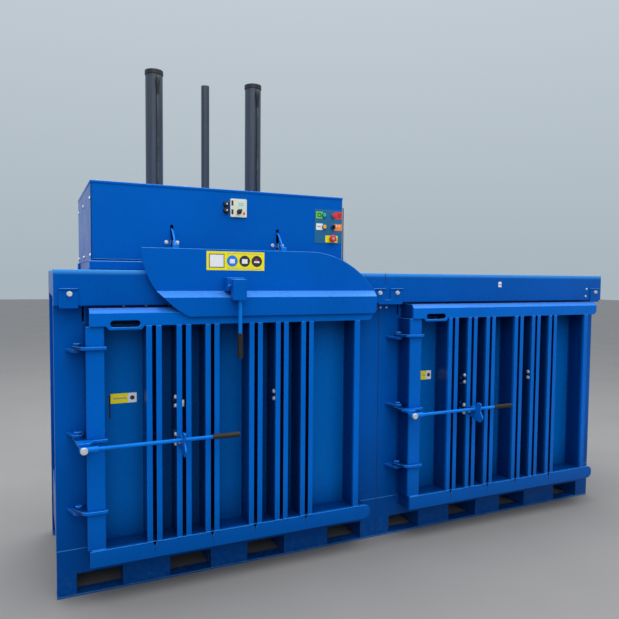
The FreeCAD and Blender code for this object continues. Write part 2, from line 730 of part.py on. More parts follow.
def door_pans(x0):
    """Folded pans between the strap slots: a back, two webs and the slats as front returns."""
    low, high = BOTTOM_BAR_BOTTOM + BOTTOM_BAR_HEIGHT, TOP_BAR_BOTTOM
    f, b, t = -DOOR_FRONT, -DOOR_CLEARANCE, DOOR_SHEET
    lip = SLOT_WIDTH / 2
    web = lip + SLAT_WIDTH
    pans = []
    for i in range(len(SLOT_CENTRES) + 1):
        points = []
        if i == 0:
            start = x0 + POST_START + POST_WIDTH
            points += [(start, b), (start, b - t)]
        else:
            s = x0 + SLOT_CENTRES[i - 1]
            points += [(s + web - t, b), (s + web - t, f + t), (s + lip, f + t), (s + lip, f),
                       (s + web, f), (s + web, b - t)]
        if i < len(SLOT_CENTRES):
            s = x0 + SLOT_CENTRES[i]
            points += [(s - web, b - t), (s - web, f), (s - lip, f), (s - lip, f + t),
                       (s - web + t, f + t), (s - web + t, b)]
        else:
            s = x0 + bar_end() - END_SLAT_BACK
            e = s + END_SLAT_WIDTH
            points += [(s, b - t), (s, f), (e, f), (e, b), (e - t, b), (e - t, f + t),
                       (s + t, f + t), (s + t, b)]
        pans.append(prism(points, "XY", low, high))
    return Part.makeCompound(pans)


def web_face():
    """Left face of the web beside the slot that the catch belongs to."""
    return SLOT_CENTRES[CATCH_SLOT] - SLOT_WIDTH / 2 - SLAT_WIDTH


def lever_catch(x0):
    """Hooked plate on a slat's front, with a notch open at the top in which the lever rests."""
    f, y, z = -DOOR_FRONT, -LEVER_FORWARD, LEVER_Z
    r = LEVER_RADIUS + CATCH_CLEARANCE
    tip, low, top = y - CATCH_REACH, z - CATCH_DROP, z + CATCH_RISE
    profile = [(f, z - 43), (f - 48, z - 58, 20), (tip + 24, low, 22), (tip, low + 32, 14),
               (tip + 26, z - 4, 26), (tip + 18, top, 10), (y - r - 12, top, 10),
               (y - r, z + 24), (y - r, z), (y + r, z), (y + r, z + 14), (y + r + 18, z + 14, 8),
               (f, z + 2)]
    x1 = x0 + web_face() + CATCH_INSET
    plate = prism(profile, "YZ", x1, x1 + CATCH_THICK)
    return plate.cut(rod((x1 - 1, y, z), (1, 0, 0), r, CATCH_THICK + 2))


def catch_bolts(x0):
    face = x0 + web_face()
    bolts = []
    for height in CATCH_BOLT_HEIGHTS:
        bolts.append(hex_head((face, -DOOR_FRONT + 58, height), (-1, 0, 0), 16.0, 7.0))
    bolts.append(hex_head((face + CATCH_INSET, -DOOR_FRONT - 18, LEVER_Z - 21), (-1, 0, 0),
                          14.0, 6.0))
    return Part.makeCompound(bolts)


def lever(x0):
    """Sleeve that the pivot bolt crosses, and the round bar that leaves it, along X."""
    x, y, z = x0 + LEVER_PIVOT_ALONG, -LEVER_FORWARD, LEVER_Z
    start = x0 + LEVER_SLEEVE_START
    sleeve = rod((start, y, z), (1, 0, 0), LEVER_SLEEVE_RADIUS, LEVER_SLEEVE_END - LEVER_SLEEVE_START)
    sleeve = sleeve.makeFillet(3.0, [sleeve.Edges[0], sleeve.Edges[2]])
    bar = rod((x0 + LEVER_SLEEVE_END - 8, y, z), (1, 0, 0), LEVER_RADIUS,
              LEVER_END - 6 - LEVER_SLEEVE_END + 8)
    hole = rod((x, y - LEVER_SLEEVE_RADIUS - 1, z), (0, 1, 0), PIVOT_BOLT_RADIUS + RUNNING_GAP,
               2 * LEVER_SLEEVE_RADIUS + 2)
    return fuse([sleeve, bar]).cut(hole)


def lever_grip(x0):
    start = x0 + LEVER_END - GRIP_LENGTH
    y, z = -LEVER_FORWARD, LEVER_Z
    outer = rod((start, y, z), (1, 0, 0), GRIP_RADIUS, GRIP_LENGTH)
    outer = outer.makeFillet(5.0, [outer.Edges[0], outer.Edges[2]])
    bore = rod((start - 1, y, z), (1, 0, 0), LEVER_RADIUS, GRIP_LENGTH - 6 + 1)
    return outer.cut(bore)


def lever_pivot_bolt(x0):
    x, z = x0 + LEVER_PIVOT_ALONG, LEVER_Z
    ear_back = lever_ear_front() + EAR_THICK
    seat = -LEVER_FORWARD - LEVER_SLEEVE_RADIUS - SEAT_GAP
    shank = rod((x, ear_back, z), (0, -1, 0), PIVOT_BOLT_RADIUS, ear_back - seat)
    head = rod((x, seat, z), (0, -1, 0), PIVOT_HEAD_RADIUS, PIVOT_HEAD_HEIGHT)
    front = seat - PIVOT_HEAD_HEIGHT
    head = head.makeFillet(4.0, [e for e in head.Edges if e.BoundBox.YMax < front + 1e-3])
    nut = hex_head((x, ear_back, z), (0, 1, 0), 20.0, 8.0)
    return fuse([shank, head, nut])


def head_centre():
    return HEAD_START + HEAD_LENGTH / 2 + PRESS_CENTRE_SHIFT


def carriage_frame():
    """Ring on the rails, end plates and the cross beam that carries the cylinders."""
    xa, xb = HEAD_START, HEAD_START + HEAD_LENGTH
    low = RAIL_TOP + CARRIAGE_LIFT
    high = low + CARRIAGE_HEIGHT
    t = CARRIAGE_PLATE
    pieces = []
    proud, forward = CARRIAGE_PROUD, CARRIAGE_FORWARD
    for y0, ya, yb in ((0.0, -forward, CARRIAGE_WIDTH),
                       (BODY_DEPTH - CARRIAGE_WIDTH, BODY_DEPTH - CARRIAGE_WIDTH,
                        BODY_DEPTH + forward)):
        outer_y = ya if y0 == 0.0 else yb
        side = box(xa - proud, ya, low, xb + proud, yb, high)
        side = side.makeFillet(CARRIAGE_ROUND, [e for e in side.Edges
                                                if e.BoundBox.ZMin > high - 1e-3
                                                and abs(e.BoundBox.YMin - outer_y) < 1e-3
                                                and abs(e.BoundBox.YMax - outer_y) < 1e-3])
        side = side.cut(box(xa - proud + t, ya + t, low - 1, xb + proud - t, yb - t, high - t))
        for x in wheel_places():
            side = side.cut(box(x - WHEEL_RADIUS - 5, y0 + t, high - t - 1, x + WHEEL_RADIUS + 5,
                                y0 + CARRIAGE_WIDTH - t, high + 1))
            axle = rod((x, ya - 1, wheel_height()), (0, 1, 0), AXLE_RADIUS, yb - ya + 2)
            side = side.cut(axle)
        pieces.append(side)
    s = HEAD_SHEET
    for x0 in (xa + s, xb - s - t):
        pieces.append(box(x0, CARRIAGE_WIDTH, low, x0 + t, BODY_DEPTH - CARRIAGE_WIDTH,
                          BEAM_BOTTOM + BEAM_HEIGHT))
    y0 = (BODY_DEPTH - BEAM_WIDTH) / 2
    w = BEAM_WALL
    beam = box(xa + s + t, y0, BEAM_BOTTOM, xb - s - t, y0 + BEAM_WIDTH,
               BEAM_BOTTOM + BEAM_HEIGHT)
    beam = beam.cut(box(xa + s + t, y0 + w, BEAM_BOTTOM + w, xb - s - t, y0 + BEAM_WIDTH - w,
                        BEAM_BOTTOM + BEAM_HEIGHT - w))
    for side in (-1, 1):
        beam = beam.cut(rod((head_centre() + side * CYLINDER_OFFSET, BODY_DEPTH / 2,
                             BEAM_BOTTOM - 1), (0, 0, 1), CYLINDER_RADIUS, BEAM_HEIGHT + 2))
    beam = beam.cut(rod((head_centre(), BODY_DEPTH / 2, BEAM_BOTTOM - 1), (0, 0, 1),
                        GUIDE_RADIUS + BUSH_WALL, BEAM_HEIGHT + 2))
    return fuse(pieces + [beam])


def wheel_places():
    return (HEAD_START + WHEEL_INSET, HEAD_START + HEAD_LENGTH - WHEEL_INSET)


def wheel_height():
    return RAIL_TOP + WHEEL_RADIUS + WHEEL_LIFT


def wheel(x, at_back):
    y = (CARRIAGE_WIDTH - WHEEL_WIDTH) / 2
    if at_back:
        y = BODY_DEPTH - CARRIAGE_WIDTH + y
    z = wheel_height()
    tyre = rod((x, y, z), (0, 1, 0), WHEEL_RADIUS, WHEEL_WIDTH)
    tyre = tyre.makeChamfer(2.0, [tyre.Edges[0], tyre.Edges[2]])
    hub = rod((x, y - 5, z), (0, 1, 0), AXLE_RADIUS + 8, WHEEL_WIDTH + 10)
    bore = rod((x, y - 6, z), (0, 1, 0), AXLE_RADIUS + RUNNING_GAP, WHEEL_WIDTH + 12)
    return fuse([tyre, hub]).cut(bore)


def wheel_axles():
    return [rod((x, y0, wheel_height()), (0, 1, 0), AXLE_RADIUS, CARRIAGE_WIDTH + CARRIAGE_FORWARD)
            for x in wheel_places() for y0 in (-CARRIAGE_FORWARD, BODY_DEPTH - CARRIAGE_WIDTH)]


def panel_bottom():
    return RAIL_TOP + CARRIAGE_LIFT + CARRIAGE_HEIGHT


def head_front_panel():
    xa, xb, t = HEAD_START, HEAD_START + HEAD_LENGTH, HEAD_SHEET
    low, high = panel_bottom(), HEAD_TOP - t
    sheet = box(xa, 0, low, xb, t, high)
    flange = box(xa + t, t, high - t, xb - t, t + 20, high)
    panel = fuse([sheet, flange])
    half = HANGER_SLOT_WIDTH / 2
    for x in hanger_places():
        panel = panel.cut(prism([(x - half, HANGER_SLOT_BOTTOM, half - 0.01),
                                 (x + half, HANGER_SLOT_BOTTOM, half - 0.01),
                                 (x + half, HANGER_SLOT_TOP, half - 0.01),
                                 (x - half, HANGER_SLOT_TOP, half - 0.01)], "XZ", -1, t + 1))
    for x, z, radius in button_bores():
        panel = panel.cut(rod((x, -1, z), (0, 1, 0), radius, t + 2))
    return panel


def panel_start():
    return HEAD_START + HEAD_LENGTH - PANEL_INSET


def on_panel(offset):
    return panel_start() + offset[0], PANEL_BOTTOM + offset[1]


def isolator_start():
    return head_centre() + ISOLATOR_SHIFT


def button_places():
    return on_panel(GREEN_BUTTON), on_panel(RED_BUTTON), on_panel(AMBER_BUTTON)


def button_bores():
    """Centre and bore radius of each control that passes through the panel."""
    bores = [(x, z, BUTTON_RADIUS + BUTTON_GAP) for x, z in button_places()]
    return bores + [on_panel(STOP_BUTTON) + (STOP_STEM_RADIUS + BUTTON_GAP,)]


def head_rear_panel():
    xa, xb, t = HEAD_START, HEAD_START + HEAD_LENGTH, HEAD_SHEET
    low, high = panel_bottom(), HEAD_TOP - t
    sheet = box(xa, BODY_DEPTH - t, low, xb, BODY_DEPTH, high)
    flange = box(xa + t, BODY_DEPTH - t - 20, high - t, xb - t, BODY_DEPTH - t, high)
    return fuse([sheet, flange])


def head_lid():
    xa, xb, t = HEAD_START, HEAD_START + HEAD_LENGTH, HEAD_SHEET
    lid = box(xa, 0, HEAD_TOP - t, xb, BODY_DEPTH, HEAD_TOP)
    for side in (-1, 1):
        x = head_centre() + side * CYLINDER_OFFSET
        lid = lid.cut(rod((x, BODY_DEPTH / 2, HEAD_TOP - t - 1), (0, 0, 1),
                          CYLINDER_RADIUS + 1.0, t + 2))
        lid = lid.cut(rod((x + PIPE_ALONG, BODY_DEPTH / 2 - PIPE_STANDOFF, HEAD_TOP - t - 1),
                          (0, 0, 1), PIPE_RADIUS + 1.0, t + 2))
    return lid.cut(rod((head_centre(), BODY_DEPTH / 2, HEAD_TOP - t - 1), (0, 0, 1),
                       GUIDE_RADIUS + 1.0, t + 2))


def head_side(x0, with_cabinet):
    t = HEAD_SHEET
    low, high = panel_bottom(), HEAD_TOP - t
    panel = box(x0, t, low, x0 + t, BODY_DEPTH - t, high)
    if with_cabinet:
        panel = panel.cut(box(x0 - 1, CABINET_INSET, CABINET_BOTTOM, x0 + t + 1,
                              CABINET_INSET + CABINET_DEPTH, CABINET_BOTTOM + CABINET_HEIGHT))
    return panel


def side_bolts():
    """Screws round the left side panel and along the lid's front edge."""
    bolts = []
    zs = (panel_bottom() + 25, HEAD_TOP - 85)
    ys = (20.0, BODY_DEPTH / 2, BODY_DEPTH - 60.0)
    for z in zs:
        for y in ys:
            bolts.append(hex_head((HEAD_START, y, z), (-1, 0, 0), 13.0, 6.0))
    first = HEAD_START + LID_SCREW_FROM_LEFT
    pitch = (HEAD_START + HEAD_LENGTH - LID_SCREW_FROM_RIGHT - first) / (LID_SCREWS - 1)
    for i in range(LID_SCREWS):
        bolts.append(hex_head((first + pitch * i, 18, HEAD_TOP), (0, 0, 1), 13.0, 6.0))
    return Part.makeCompound(bolts)


def cylinder_barrel(x):
    """Barrel with its gland at the bottom; the piston and rod move inside."""
    y = BODY_DEPTH / 2
    barrel = rod((x, y, CYLINDER_BOTTOM), (0, 0, 1), CYLINDER_RADIUS,
                 CYLINDER_TOP - CYLINDER_BOTTOM)
    bore = rod((x, y, CYLINDER_BOTTOM + GLAND_HEIGHT), (0, 0, 1), CYLINDER_BORE,
               CYLINDER_TOP - CYLINDER_BOTTOM - GLAND_HEIGHT + 1)
    gland = rod((x, y, CYLINDER_BOTTOM - 1), (0, 0, 1), ROD_RADIUS + RUNNING_GAP,
                GLAND_HEIGHT + 2)
    return barrel.cut(bore).cut(gland)


def cylinder_cap(x):
    y = BODY_DEPTH / 2
    z0 = CYLINDER_TOP - CAP_HEIGHT + SHEET
    rim = rod((x, y, z0), (0, 0, 1), CAP_RADIUS, CAP_HEIGHT)
    rim = rim.makeFillet(5.0, [e for e in rim.Edges if e.BoundBox.ZMin > z0 + CAP_HEIGHT - 1e-3])
    return rim.cut(rod((x, y, z0 - 1), (0, 0, 1), CYLINDER_RADIUS, CAP_HEIGHT - SHEET + 1))


def cylinder_pipe(x):
    """Supply pipe that runs down the front of the barrel from its top port."""
    y = BODY_DEPTH / 2
    px, py = x + PIPE_ALONG, y - PIPE_STANDOFF
    run = rod((px, py, PIPE_BOTTOM), (0, 0, 1), PIPE_RADIUS, PIPE_TOP - PIPE_BOTTOM)
    ports = [rod((px, py, z), (0, 1, 0), PORT_RADIUS, PIPE_STANDOFF)
             for z in (PIPE_BOTTOM + PORT_INSET, PIPE_TOP - PORT_INSET)]
    barrel = rod((x, y, PIPE_BOTTOM - 50), (0, 0, 1), CYLINDER_RADIUS,
                 PIPE_TOP - PIPE_BOTTOM + 100)
    return fuse([run] + [port.cut(barrel) for port in ports])


def piston_rod(x):
    y = BODY_DEPTH / 2
    piston_top = CYLINDER_TOP - CAP_HEIGHT
    foot = platen_top()
    shaft = rod((x, y, foot), (0, 0, 1), ROD_RADIUS, piston_top - foot)
    piston = rod((x, y, piston_top - PISTON_HEIGHT), (0, 0, 1), CYLINDER_BORE - RUNNING_GAP,
                 PISTON_HEIGHT)
    return fuse([shaft, piston])


def platen_bottom():
    return RAIL_TOP + PLATEN_LIFT


def platen_top():
    return platen_bottom() + PLATEN_HEIGHT


def platen():
    """Bottom plate, edge and cross ribs, and the pads that the rods bolt to."""
    inset = HEAD_SHEET + CARRIAGE_PLATE + PLATEN_MARGIN_X
    xa = HEAD_START + inset
    xb = HEAD_START + HEAD_LENGTH - inset
    ya, yb = PLATEN_MARGIN_Y, BODY_DEPTH - PLATEN_MARGIN_Y
    low, top, r = platen_bottom(), platen_top(), PLATEN_RIB
    pieces = [box(xa, ya, low, xb, yb, low + PLATEN_SKIN)]
    long, wide = PAD_HALF_LENGTH, PAD_HALF_WIDTH
    rib_top = top - PLATEN_RIB_DROP
    for y in (ya, BODY_DEPTH / 2 - wide - r, BODY_DEPTH / 2 + wide, yb - r):
        pieces.append(box(xa, y, low, xb, y + r, rib_top))
    for x in (xa, head_centre() - CYLINDER_OFFSET - long - r,
              head_centre() - CYLINDER_OFFSET + long, head_centre() + CYLINDER_OFFSET - long - r,
              head_centre() + CYLINDER_OFFSET + long, xb - r):
        pieces.append(box(x, ya, low, x + r, yb, rib_top))
    for centre, half in ((head_centre() - CYLINDER_OFFSET, long),
                         (head_centre() + CYLINDER_OFFSET, long),
                         (head_centre(), GUIDE_PAD_HALF)):
        pieces.append(box(centre - half, BODY_DEPTH / 2 - wide, low, centre + half,
                          BODY_DEPTH / 2 + wide, top))
    return fuse(pieces)


def guide_tube():
    foot = platen_top()
    outer = rod((head_centre(), BODY_DEPTH / 2, foot), (0, 0, 1), GUIDE_RADIUS,
                GUIDE_TOP - foot)
    inner = rod((head_centre(), BODY_DEPTH / 2, foot + 20), (0, 0, 1), GUIDE_RADIUS - GUIDE_WALL,
                GUIDE_TOP - foot - 20 - GUIDE_WALL)
    return outer.cut(inner)


def guide_bush():
    z0 = BEAM_BOTTOM - BUSH_OVERHANG
    height = BEAM_HEIGHT + 2 * BUSH_OVERHANG
    ring = rod((head_centre(), BODY_DEPTH / 2, z0), (0, 0, 1), GUIDE_RADIUS + BUSH_WALL, height)
    collar = rod((head_centre(), BODY_DEPTH / 2, BEAM_BOTTOM + BEAM_HEIGHT), (0, 0, 1),
                 GUIDE_RADIUS + BUSH_WALL + 8, BUSH_OVERHANG)
    bore = rod((head_centre(), BODY_DEPTH / 2, z0 - 1), (0, 0, 1), GUIDE_RADIUS + RUNNING_GAP,
               height + 2)
    return fuse([ring, collar]).cut(bore)


def hydraulic_tank():
    """Tank beside the right cylinder, with its filler."""
    y = BODY_DEPTH / 2
    z0 = BEAM_BOTTOM + BEAM_HEIGHT
    x0 = head_centre() + CYLINDER_OFFSET + CYLINDER_RADIUS + TANK_CLEARANCE
    tank = box(x0, y - TANK_DEPTH / 2, z0, x0 + TANK_LENGTH, y + TANK_DEPTH / 2,
               z0 + TANK_HEIGHT)
    filler = rod((x0 + 50, y, z0 + TANK_HEIGHT), (0, 0, 1), 22.0, 30.0)
    return fuse([tank, filler])


def pump_motor():
    y = BODY_DEPTH / 2
    z0 = BEAM_BOTTOM + BEAM_HEIGHT
    z = z0 + MOTOR_RADIUS + 8
    x0 = head_centre() - CYLINDER_OFFSET + CYLINDER_RADIUS + MOTOR_CLEARANCE
    drum = rod((x0, y, z), (1, 0, 0), MOTOR_RADIUS, MOTOR_LENGTH)
    foot = box(x0 + 20, y - 55, z0, x0 + MOTOR_LENGTH - 20, y + 55, z)
    box_on_top = box(x0 + 40, y - 40, z, x0 + MOTOR_LENGTH - 40, y + 40, z + MOTOR_RADIUS + 25)
    return fuse([drum, foot, box_on_top])


def control_cabinet():
    x1 = HEAD_START + HEAD_LENGTH + CABINET_PROUD
    x0 = HEAD_START + HEAD_LENGTH - CABINET_INSIDE
    y0, y1 = CABINET_INSET, CABINET_INSET + CABINET_DEPTH
    z0, z1 = CABINET_BOTTOM, CABINET_BOTTOM + CABINET_HEIGHT
    t = 2.0
    shell = box(x0, y0, z0, x1, y1, z1)
    shell = shell.cut(box(x0 + t, y0 + t, z0 + t, x1 + 1, y1 - t, z1 - t))
    return shell.cut(cabinet_notch())


def cabinet_notch():
    """Room for the end plate of the carriage, which the cabinet fits round."""
    x1 = HEAD_START + HEAD_LENGTH
    return box(x1 - HEAD_SHEET - CARRIAGE_PLATE - 1, CARRIAGE_WIDTH - 1, 0, x1 - HEAD_SHEET,
               BODY_DEPTH, BEAM_BOTTOM + BEAM_HEIGHT + 1)


def cabinet_door():
    x0 = HEAD_START + HEAD_LENGTH + CABINET_PROUD + CABINET_DOOR_GAP
    x1 = x0 + CABINET_DOOR_THICK
    m = CABINET_DOOR_MARGIN
    y0, y1 = CABINET_INSET - m, CABINET_INSET + CABINET_DEPTH + m
    z0, z1 = CABINET_BOTTOM - m, CABINET_BOTTOM + CABINET_HEIGHT + m
    tray = box(x0, y0, z0, x1, y1, z1)
    return door_knuckles(tray.cut(box(x0 - 1, y0 + 2, z0 + 2, x1 - 2, y1 - 2, z1 - 2)))


def hinge_axis():
    """Place of the cabinet door's hinge line, just behind the door's rear left edge."""
    x = HEAD_START + HEAD_LENGTH + CABINET_PROUD + CABINET_DOOR_GAP
    return x, CABINET_INSET + CABINET_DEPTH + CABINET_DOOR_MARGIN + KNUCKLE_OFFSET


def hinge_levels():
    pitch = 3 * KNUCKLE_HEIGHT
    return (CABINET_BOTTOM + KNUCKLE_INSET,
            CABINET_BOTTOM + CABINET_HEIGHT - KNUCKLE_INSET - pitch)


def cabinet_hinges():
    """Leaf, outer knuckles and pin of each hinge on the cabinet's rear wall."""
    ax, ay = hinge_axis()
    y = CABINET_INSET + CABINET_DEPTH
    x = HEAD_START + HEAD_LENGTH + CABINET_PROUD
    leaf, h = HINGE_LEAF, KNUCKLE_HEIGHT
    hinges = []
    for z in hinge_levels():
        pieces = [box(x - HINGE_LEAF_ALONG, y, z, x - HINGE_LEAF_ALONG + leaf, ay + leaf / 2,
                      z + 3 * h),
                  rod((ax, ay, z), (0, 0, 1), KNUCKLE_PIN, 3 * h)]
        for z0 in (z, z + 2 * h):
            pieces.append(box(x - HINGE_LEAF_ALONG, ay - leaf / 2, z0, ax, ay + leaf / 2, z0 + h))
            pieces.append(rod((ax, ay, z0), (0, 0, 1), KNUCKLE_RADIUS, h))
        hinges.append(fuse(pieces))
    return Part.makeCompound(hinges)


def door_knuckles(door):
    """The door with a tab and the middle knuckle of each hinge."""
    ax, ay = hinge_axis()
    h, gap = KNUCKLE_HEIGHT, SEAT_GAP
    for z in hinge_levels():
        z0, z1 = z + h + gap, z + 2 * h - gap
        tab = box(ax, ay - KNUCKLE_OFFSET - 1, z0, ax + HINGE_LEAF, ay, z1)
        knuckle = rod((ax, ay, z0), (0, 0, 1), KNUCKLE_RADIUS, z1 - z0)
        bore = rod((ax, ay, z0 - 1), (0, 0, 1), KNUCKLE_PIN + RUNNING_GAP, z1 - z0 + 2)
        door = fuse([door, tab, knuckle]).cut(bore)
    return door


def apron():
    """Bent sheet with two opposite corners cut by large arcs."""
    t = APRON_SHEET
    back, step = -APRON_BACK, -APRON_BACK - APRON_STEP
    low, top = APRON_BOTTOM, APRON_TOP
    section = [(back, top), (back - t, top), (back - t, APRON_BEND_TOP),
               (step - t, APRON_BEND_BOTTOM), (step - t, low), (step, low),
               (step, APRON_BEND_BOTTOM - t / 2), (back, APRON_BEND_TOP - t / 2)]
    left, right = HEAD_START + APRON_INSET, HEAD_START + HEAD_LENGTH + APRON_OVERHANG
    sheet = prism(section, "YZ", left, right)
    corners = [(left, top), (right - APRON_ARC_BACK, top)]
    top_arc = [corners[1], (right - APRON_ARC_MIDDLE[0], top - APRON_ARC_MIDDLE[1]),
               (right, APRON_BEND_TOP)]
    low_arc = [(left + APRON_CUT_LENGTH, low),
               (left + APRON_CUT_MIDDLE[0], low + APRON_CUT_MIDDLE[1]),
               (left + 3, top - APRON_CUT_DROP)]
    edges = []

    def at(point):
        return V(point[0], step - t - 1, point[1])

    edges.append(Part.LineSegment(at(corners[0]), at(corners[1])).toShape())
    edges.append(Part.Arc(*[at(p) for p in top_arc]).toShape())
    r = APRON_FOOT_RADIUS
    bend_end = (right - APRON_FOOT_INSET, APRON_BEND_BOTTOM)
    edges.append(Part.LineSegment(at(top_arc[2]), at(bend_end)).toShape())
    side_low = (right - APRON_FOOT_INSET, low + r)
    edges.append(Part.LineSegment(at(bend_end), at(side_low)).toShape())
    bend = (side_low[0] - r * 0.3, low + r * 0.3)
    foot = (side_low[0] - r, low)
    edges.append(Part.Arc(at(side_low), at(bend), at(foot)).toShape())
    edges.append(Part.LineSegment(at(foot), at(low_arc[0])).toShape())
    edges.append(Part.Arc(*[at(p) for p in low_arc]).toShape())
    edges.append(Part.LineSegment(at(low_arc[2]), at(corners[0])).toShape())
    mask = Part.Face(Part.Wire(edges)).extrude(V(0, APRON_STEP + 2 * t + 4, 0))
    return sheet.common(mask)


def hanger_places():
    return (head_centre() - HANGER_SPREAD, head_centre() + HANGER_SPREAD)


def apron_hangers():
    """Gooseneck arms: an eye on the pivot, a bend out through the slot and a run to the apron."""
    arms = []
    py, pz, r = HANGER_PIVOT_BACK, HANGER_PIVOT_Z, HANGER_SWEEP
    start, end = math.radians(85), math.radians(140)
    middle = (start + end) / 2
    for x in hanger_places():
        def at(angle):
            return V(x, py + r * math.cos(angle), pz + r * math.sin(angle))

        first, last = at(start), at(end)
        ahead = V(0, -math.sin(end), math.cos(end))
        run = (-APRON_BACK - last.y) / ahead.y
        tip = last + ahead * run
        path = Part.Wire([Part.Arc(first, at(middle), last).toShape(),
                          Part.LineSegment(last, tip).toShape()])
        tangent = V(0, -math.sin(start), math.cos(start))
        ring = Part.Wire([Part.Circle(first, tangent, HANGER_RADIUS).toShape()])
        neck = path.makePipeShell([ring], True, False)
        neck = neck.cut(box(x - 2 * HANGER_RADIUS, -APRON_BACK - 2 * HANGER_SWEEP,
                            pz - 2 * HANGER_SWEEP, x + 2 * HANGER_RADIUS, -APRON_BACK,
                            pz + 2 * HANGER_SWEEP))
        pad = box(x - 15, -APRON_BACK, APRON_TOP - 36, x + 15, -APRON_BACK + 8, APRON_TOP + 20)
        drop = first - V(x, py, pz)
        length = drop.Length
        drop.normalize()
        stem = Part.makeCylinder(HANGER_RADIUS, length, V(x, py, pz), drop)
        knee = Part.makeSphere(HANGER_RADIUS, first)
        eye = rod((x - HANGER_CHEEK_GAP + 0.5, py, pz), (1, 0, 0), HANGER_EYE_RADIUS,
                  2 * HANGER_CHEEK_GAP - 1)
        hole = rod((x - 20, py, pz), (1, 0, 0), HANGER_PIN_RADIUS + RUNNING_GAP, 40)
        arms.append(fuse([neck, pad, stem, knee, eye]).cut(hole))
    return Part.makeCompound(arms)


def hanger_brackets():
    """Forks behind the front panel, each with the pin that its hanger turns on."""
    brackets = []
    py, pz = HANGER_PIVOT_BACK, HANGER_PIVOT_Z
    t, gap = HANGER_CHEEK, HANGER_CHEEK_GAP
    for x in hanger_places():
        pieces = []
        for x0 in (x - gap - t, x + gap):
            pieces.append(box(x0, HEAD_SHEET, pz - 13, x0 + t, py + 13, pz + 13))
        for x0 in (x - 40, x + gap):
            pieces.append(box(x0, HEAD_SHEET, pz - 13, x0 + 40 - gap, HEAD_SHEET + t, pz + 13))
        pieces.append(rod((x - gap - t - 3, py, pz), (1, 0, 0), HANGER_PIN_RADIUS,
                          2 * (gap + t) + 6))
        brackets.append(fuse(pieces))
    return Part.makeCompound(brackets)


def hanger_bolts():
    bolts = []
    for x in hanger_places():
        for side in (-1, 1):
            bolts.append(hex_head((x + side * HANGER_BOLT_SPREAD, 0, HANGER_PIVOT_Z), (0, -1, 0),
                                  13.0, 7.0))
    return Part.makeCompound(bolts)


def lock_back():
    return -APRON_BACK - APRON_SHEET


def lock_front():
    return -APRON_BACK - APRON_STEP - APRON_SHEET - LOCK_BOX_SEAT


def lock_along():
    return head_centre() + LOCK_SHIFT


def lock_axis():
    return lock_front() - LOCK_SHEET - LOCK_BOX_DEPTH / 2


def lock_bracket():
    """Mounting plate and the box that guides the pull rod through its floor and its shelf."""
    t = LOCK_SHEET
    y1 = lock_front()
    y0 = y1 - t
    x, axis = lock_along(), lock_axis()
    xa = x - LOCK_BOX_BACK
    xb = xa + LOCK_BOX_WIDTH
    pa = x - LOCK_PLATE_BACK
    z0, z1 = LOCK_BOX_BOTTOM, LOCK_BOX_TOP
    front = y0 - LOCK_BOX_DEPTH
    ear = box(pa, y0, LOCK_PLATE_BOTTOM, pa + LOCK_PLATE_WIDTH, y1, LOCK_PLATE_TOP)
    spacer_high = box(pa, y1, APRON_BEND_TOP + 2, xb - t, lock_back(), LOCK_PLATE_TOP)
    spacer_low = box(xa, y1, z0, xb, y1 + LOCK_BOX_SEAT, APRON_BEND_BOTTOM - t)
    case = box(xa, front, z0, xb, y1, z1)
    case = case.cut(box(xa + t, front + t, z0 + t, xb - t, y0, z1 - t))
    shelf = box(xa, front, LOCK_SHELF_Z, xb, y1, LOCK_SHELF_Z + t)
    whole = fuse([ear, spacer_high, spacer_low, case, shelf])
    guide = rod((x, axis, z0 - 1), (0, 0, 1), LOCK_ROD_RADIUS + RUNNING_GAP,
                LOCK_SHELF_Z + 2 * t - z0)
    return whole.cut(guide)


def lock_bolt():
    x = lock_along() - LOCK_PLATE_BACK + LOCK_BOLT_INSET
    return hex_head((x, lock_front() - LOCK_SHEET, LOCK_BOLT_Z), (0, -1, 0), 13.0, 7.0)


def lock_handle():
    """Pull rod with the collar that its spring holds up under the shelf."""
    x, y = lock_along(), lock_axis()
    foot = LOCK_GRIP_TOP - LOCK_GRIP_LENGTH + LOCK_GRIP_FLOOR
    bar = rod((x, y, foot), (0, 0, 1), LOCK_ROD_RADIUS, LOCK_ROD_TOP - foot)
    collar = rod((x, y, LOCK_SHELF_Z - SEAT_GAP - LOCK_COLLAR_HEIGHT), (0, 0, 1),
                 LOCK_COLLAR_RADIUS, LOCK_COLLAR_HEIGHT)
    return fuse([bar, collar])


def lock_grip():
    """Ribbed rubber grip pushed on the end of the rod."""
    x, y = lock_along(), lock_axis()
    low = LOCK_GRIP_TOP - LOCK_GRIP_LENGTH
    core = rod((x, y, low), (0, 0, 1), LOCK_GRIP_CORE, LOCK_GRIP_LENGTH)
    pitch = LOCK_GRIP_LENGTH / LOCK_GRIP_RIBS
    ribs = [rod((x, y, low + pitch * i + pitch * 0.2), (0, 0, 1), LOCK_GRIP_RADIUS,
                pitch * 0.6) for i in range(LOCK_GRIP_RIBS)]
    bore = rod((x, y, low + LOCK_GRIP_FLOOR), (0, 0, 1), LOCK_ROD_RADIUS, LOCK_GRIP_LENGTH)
    return fuse([core] + ribs).cut(bore)


def control_plate():
    plate = box(panel_start(), -PANEL_THICK, PANEL_BOTTOM, panel_start() + PANEL_WIDTH, 0,
                PANEL_BOTTOM + PANEL_HEIGHT)
    for x, z, radius in button_bores():
        plate = plate.cut(rod((x, -PANEL_THICK - 1, z), (0, 1, 0), radius, PANEL_THICK + 2))
    return plate


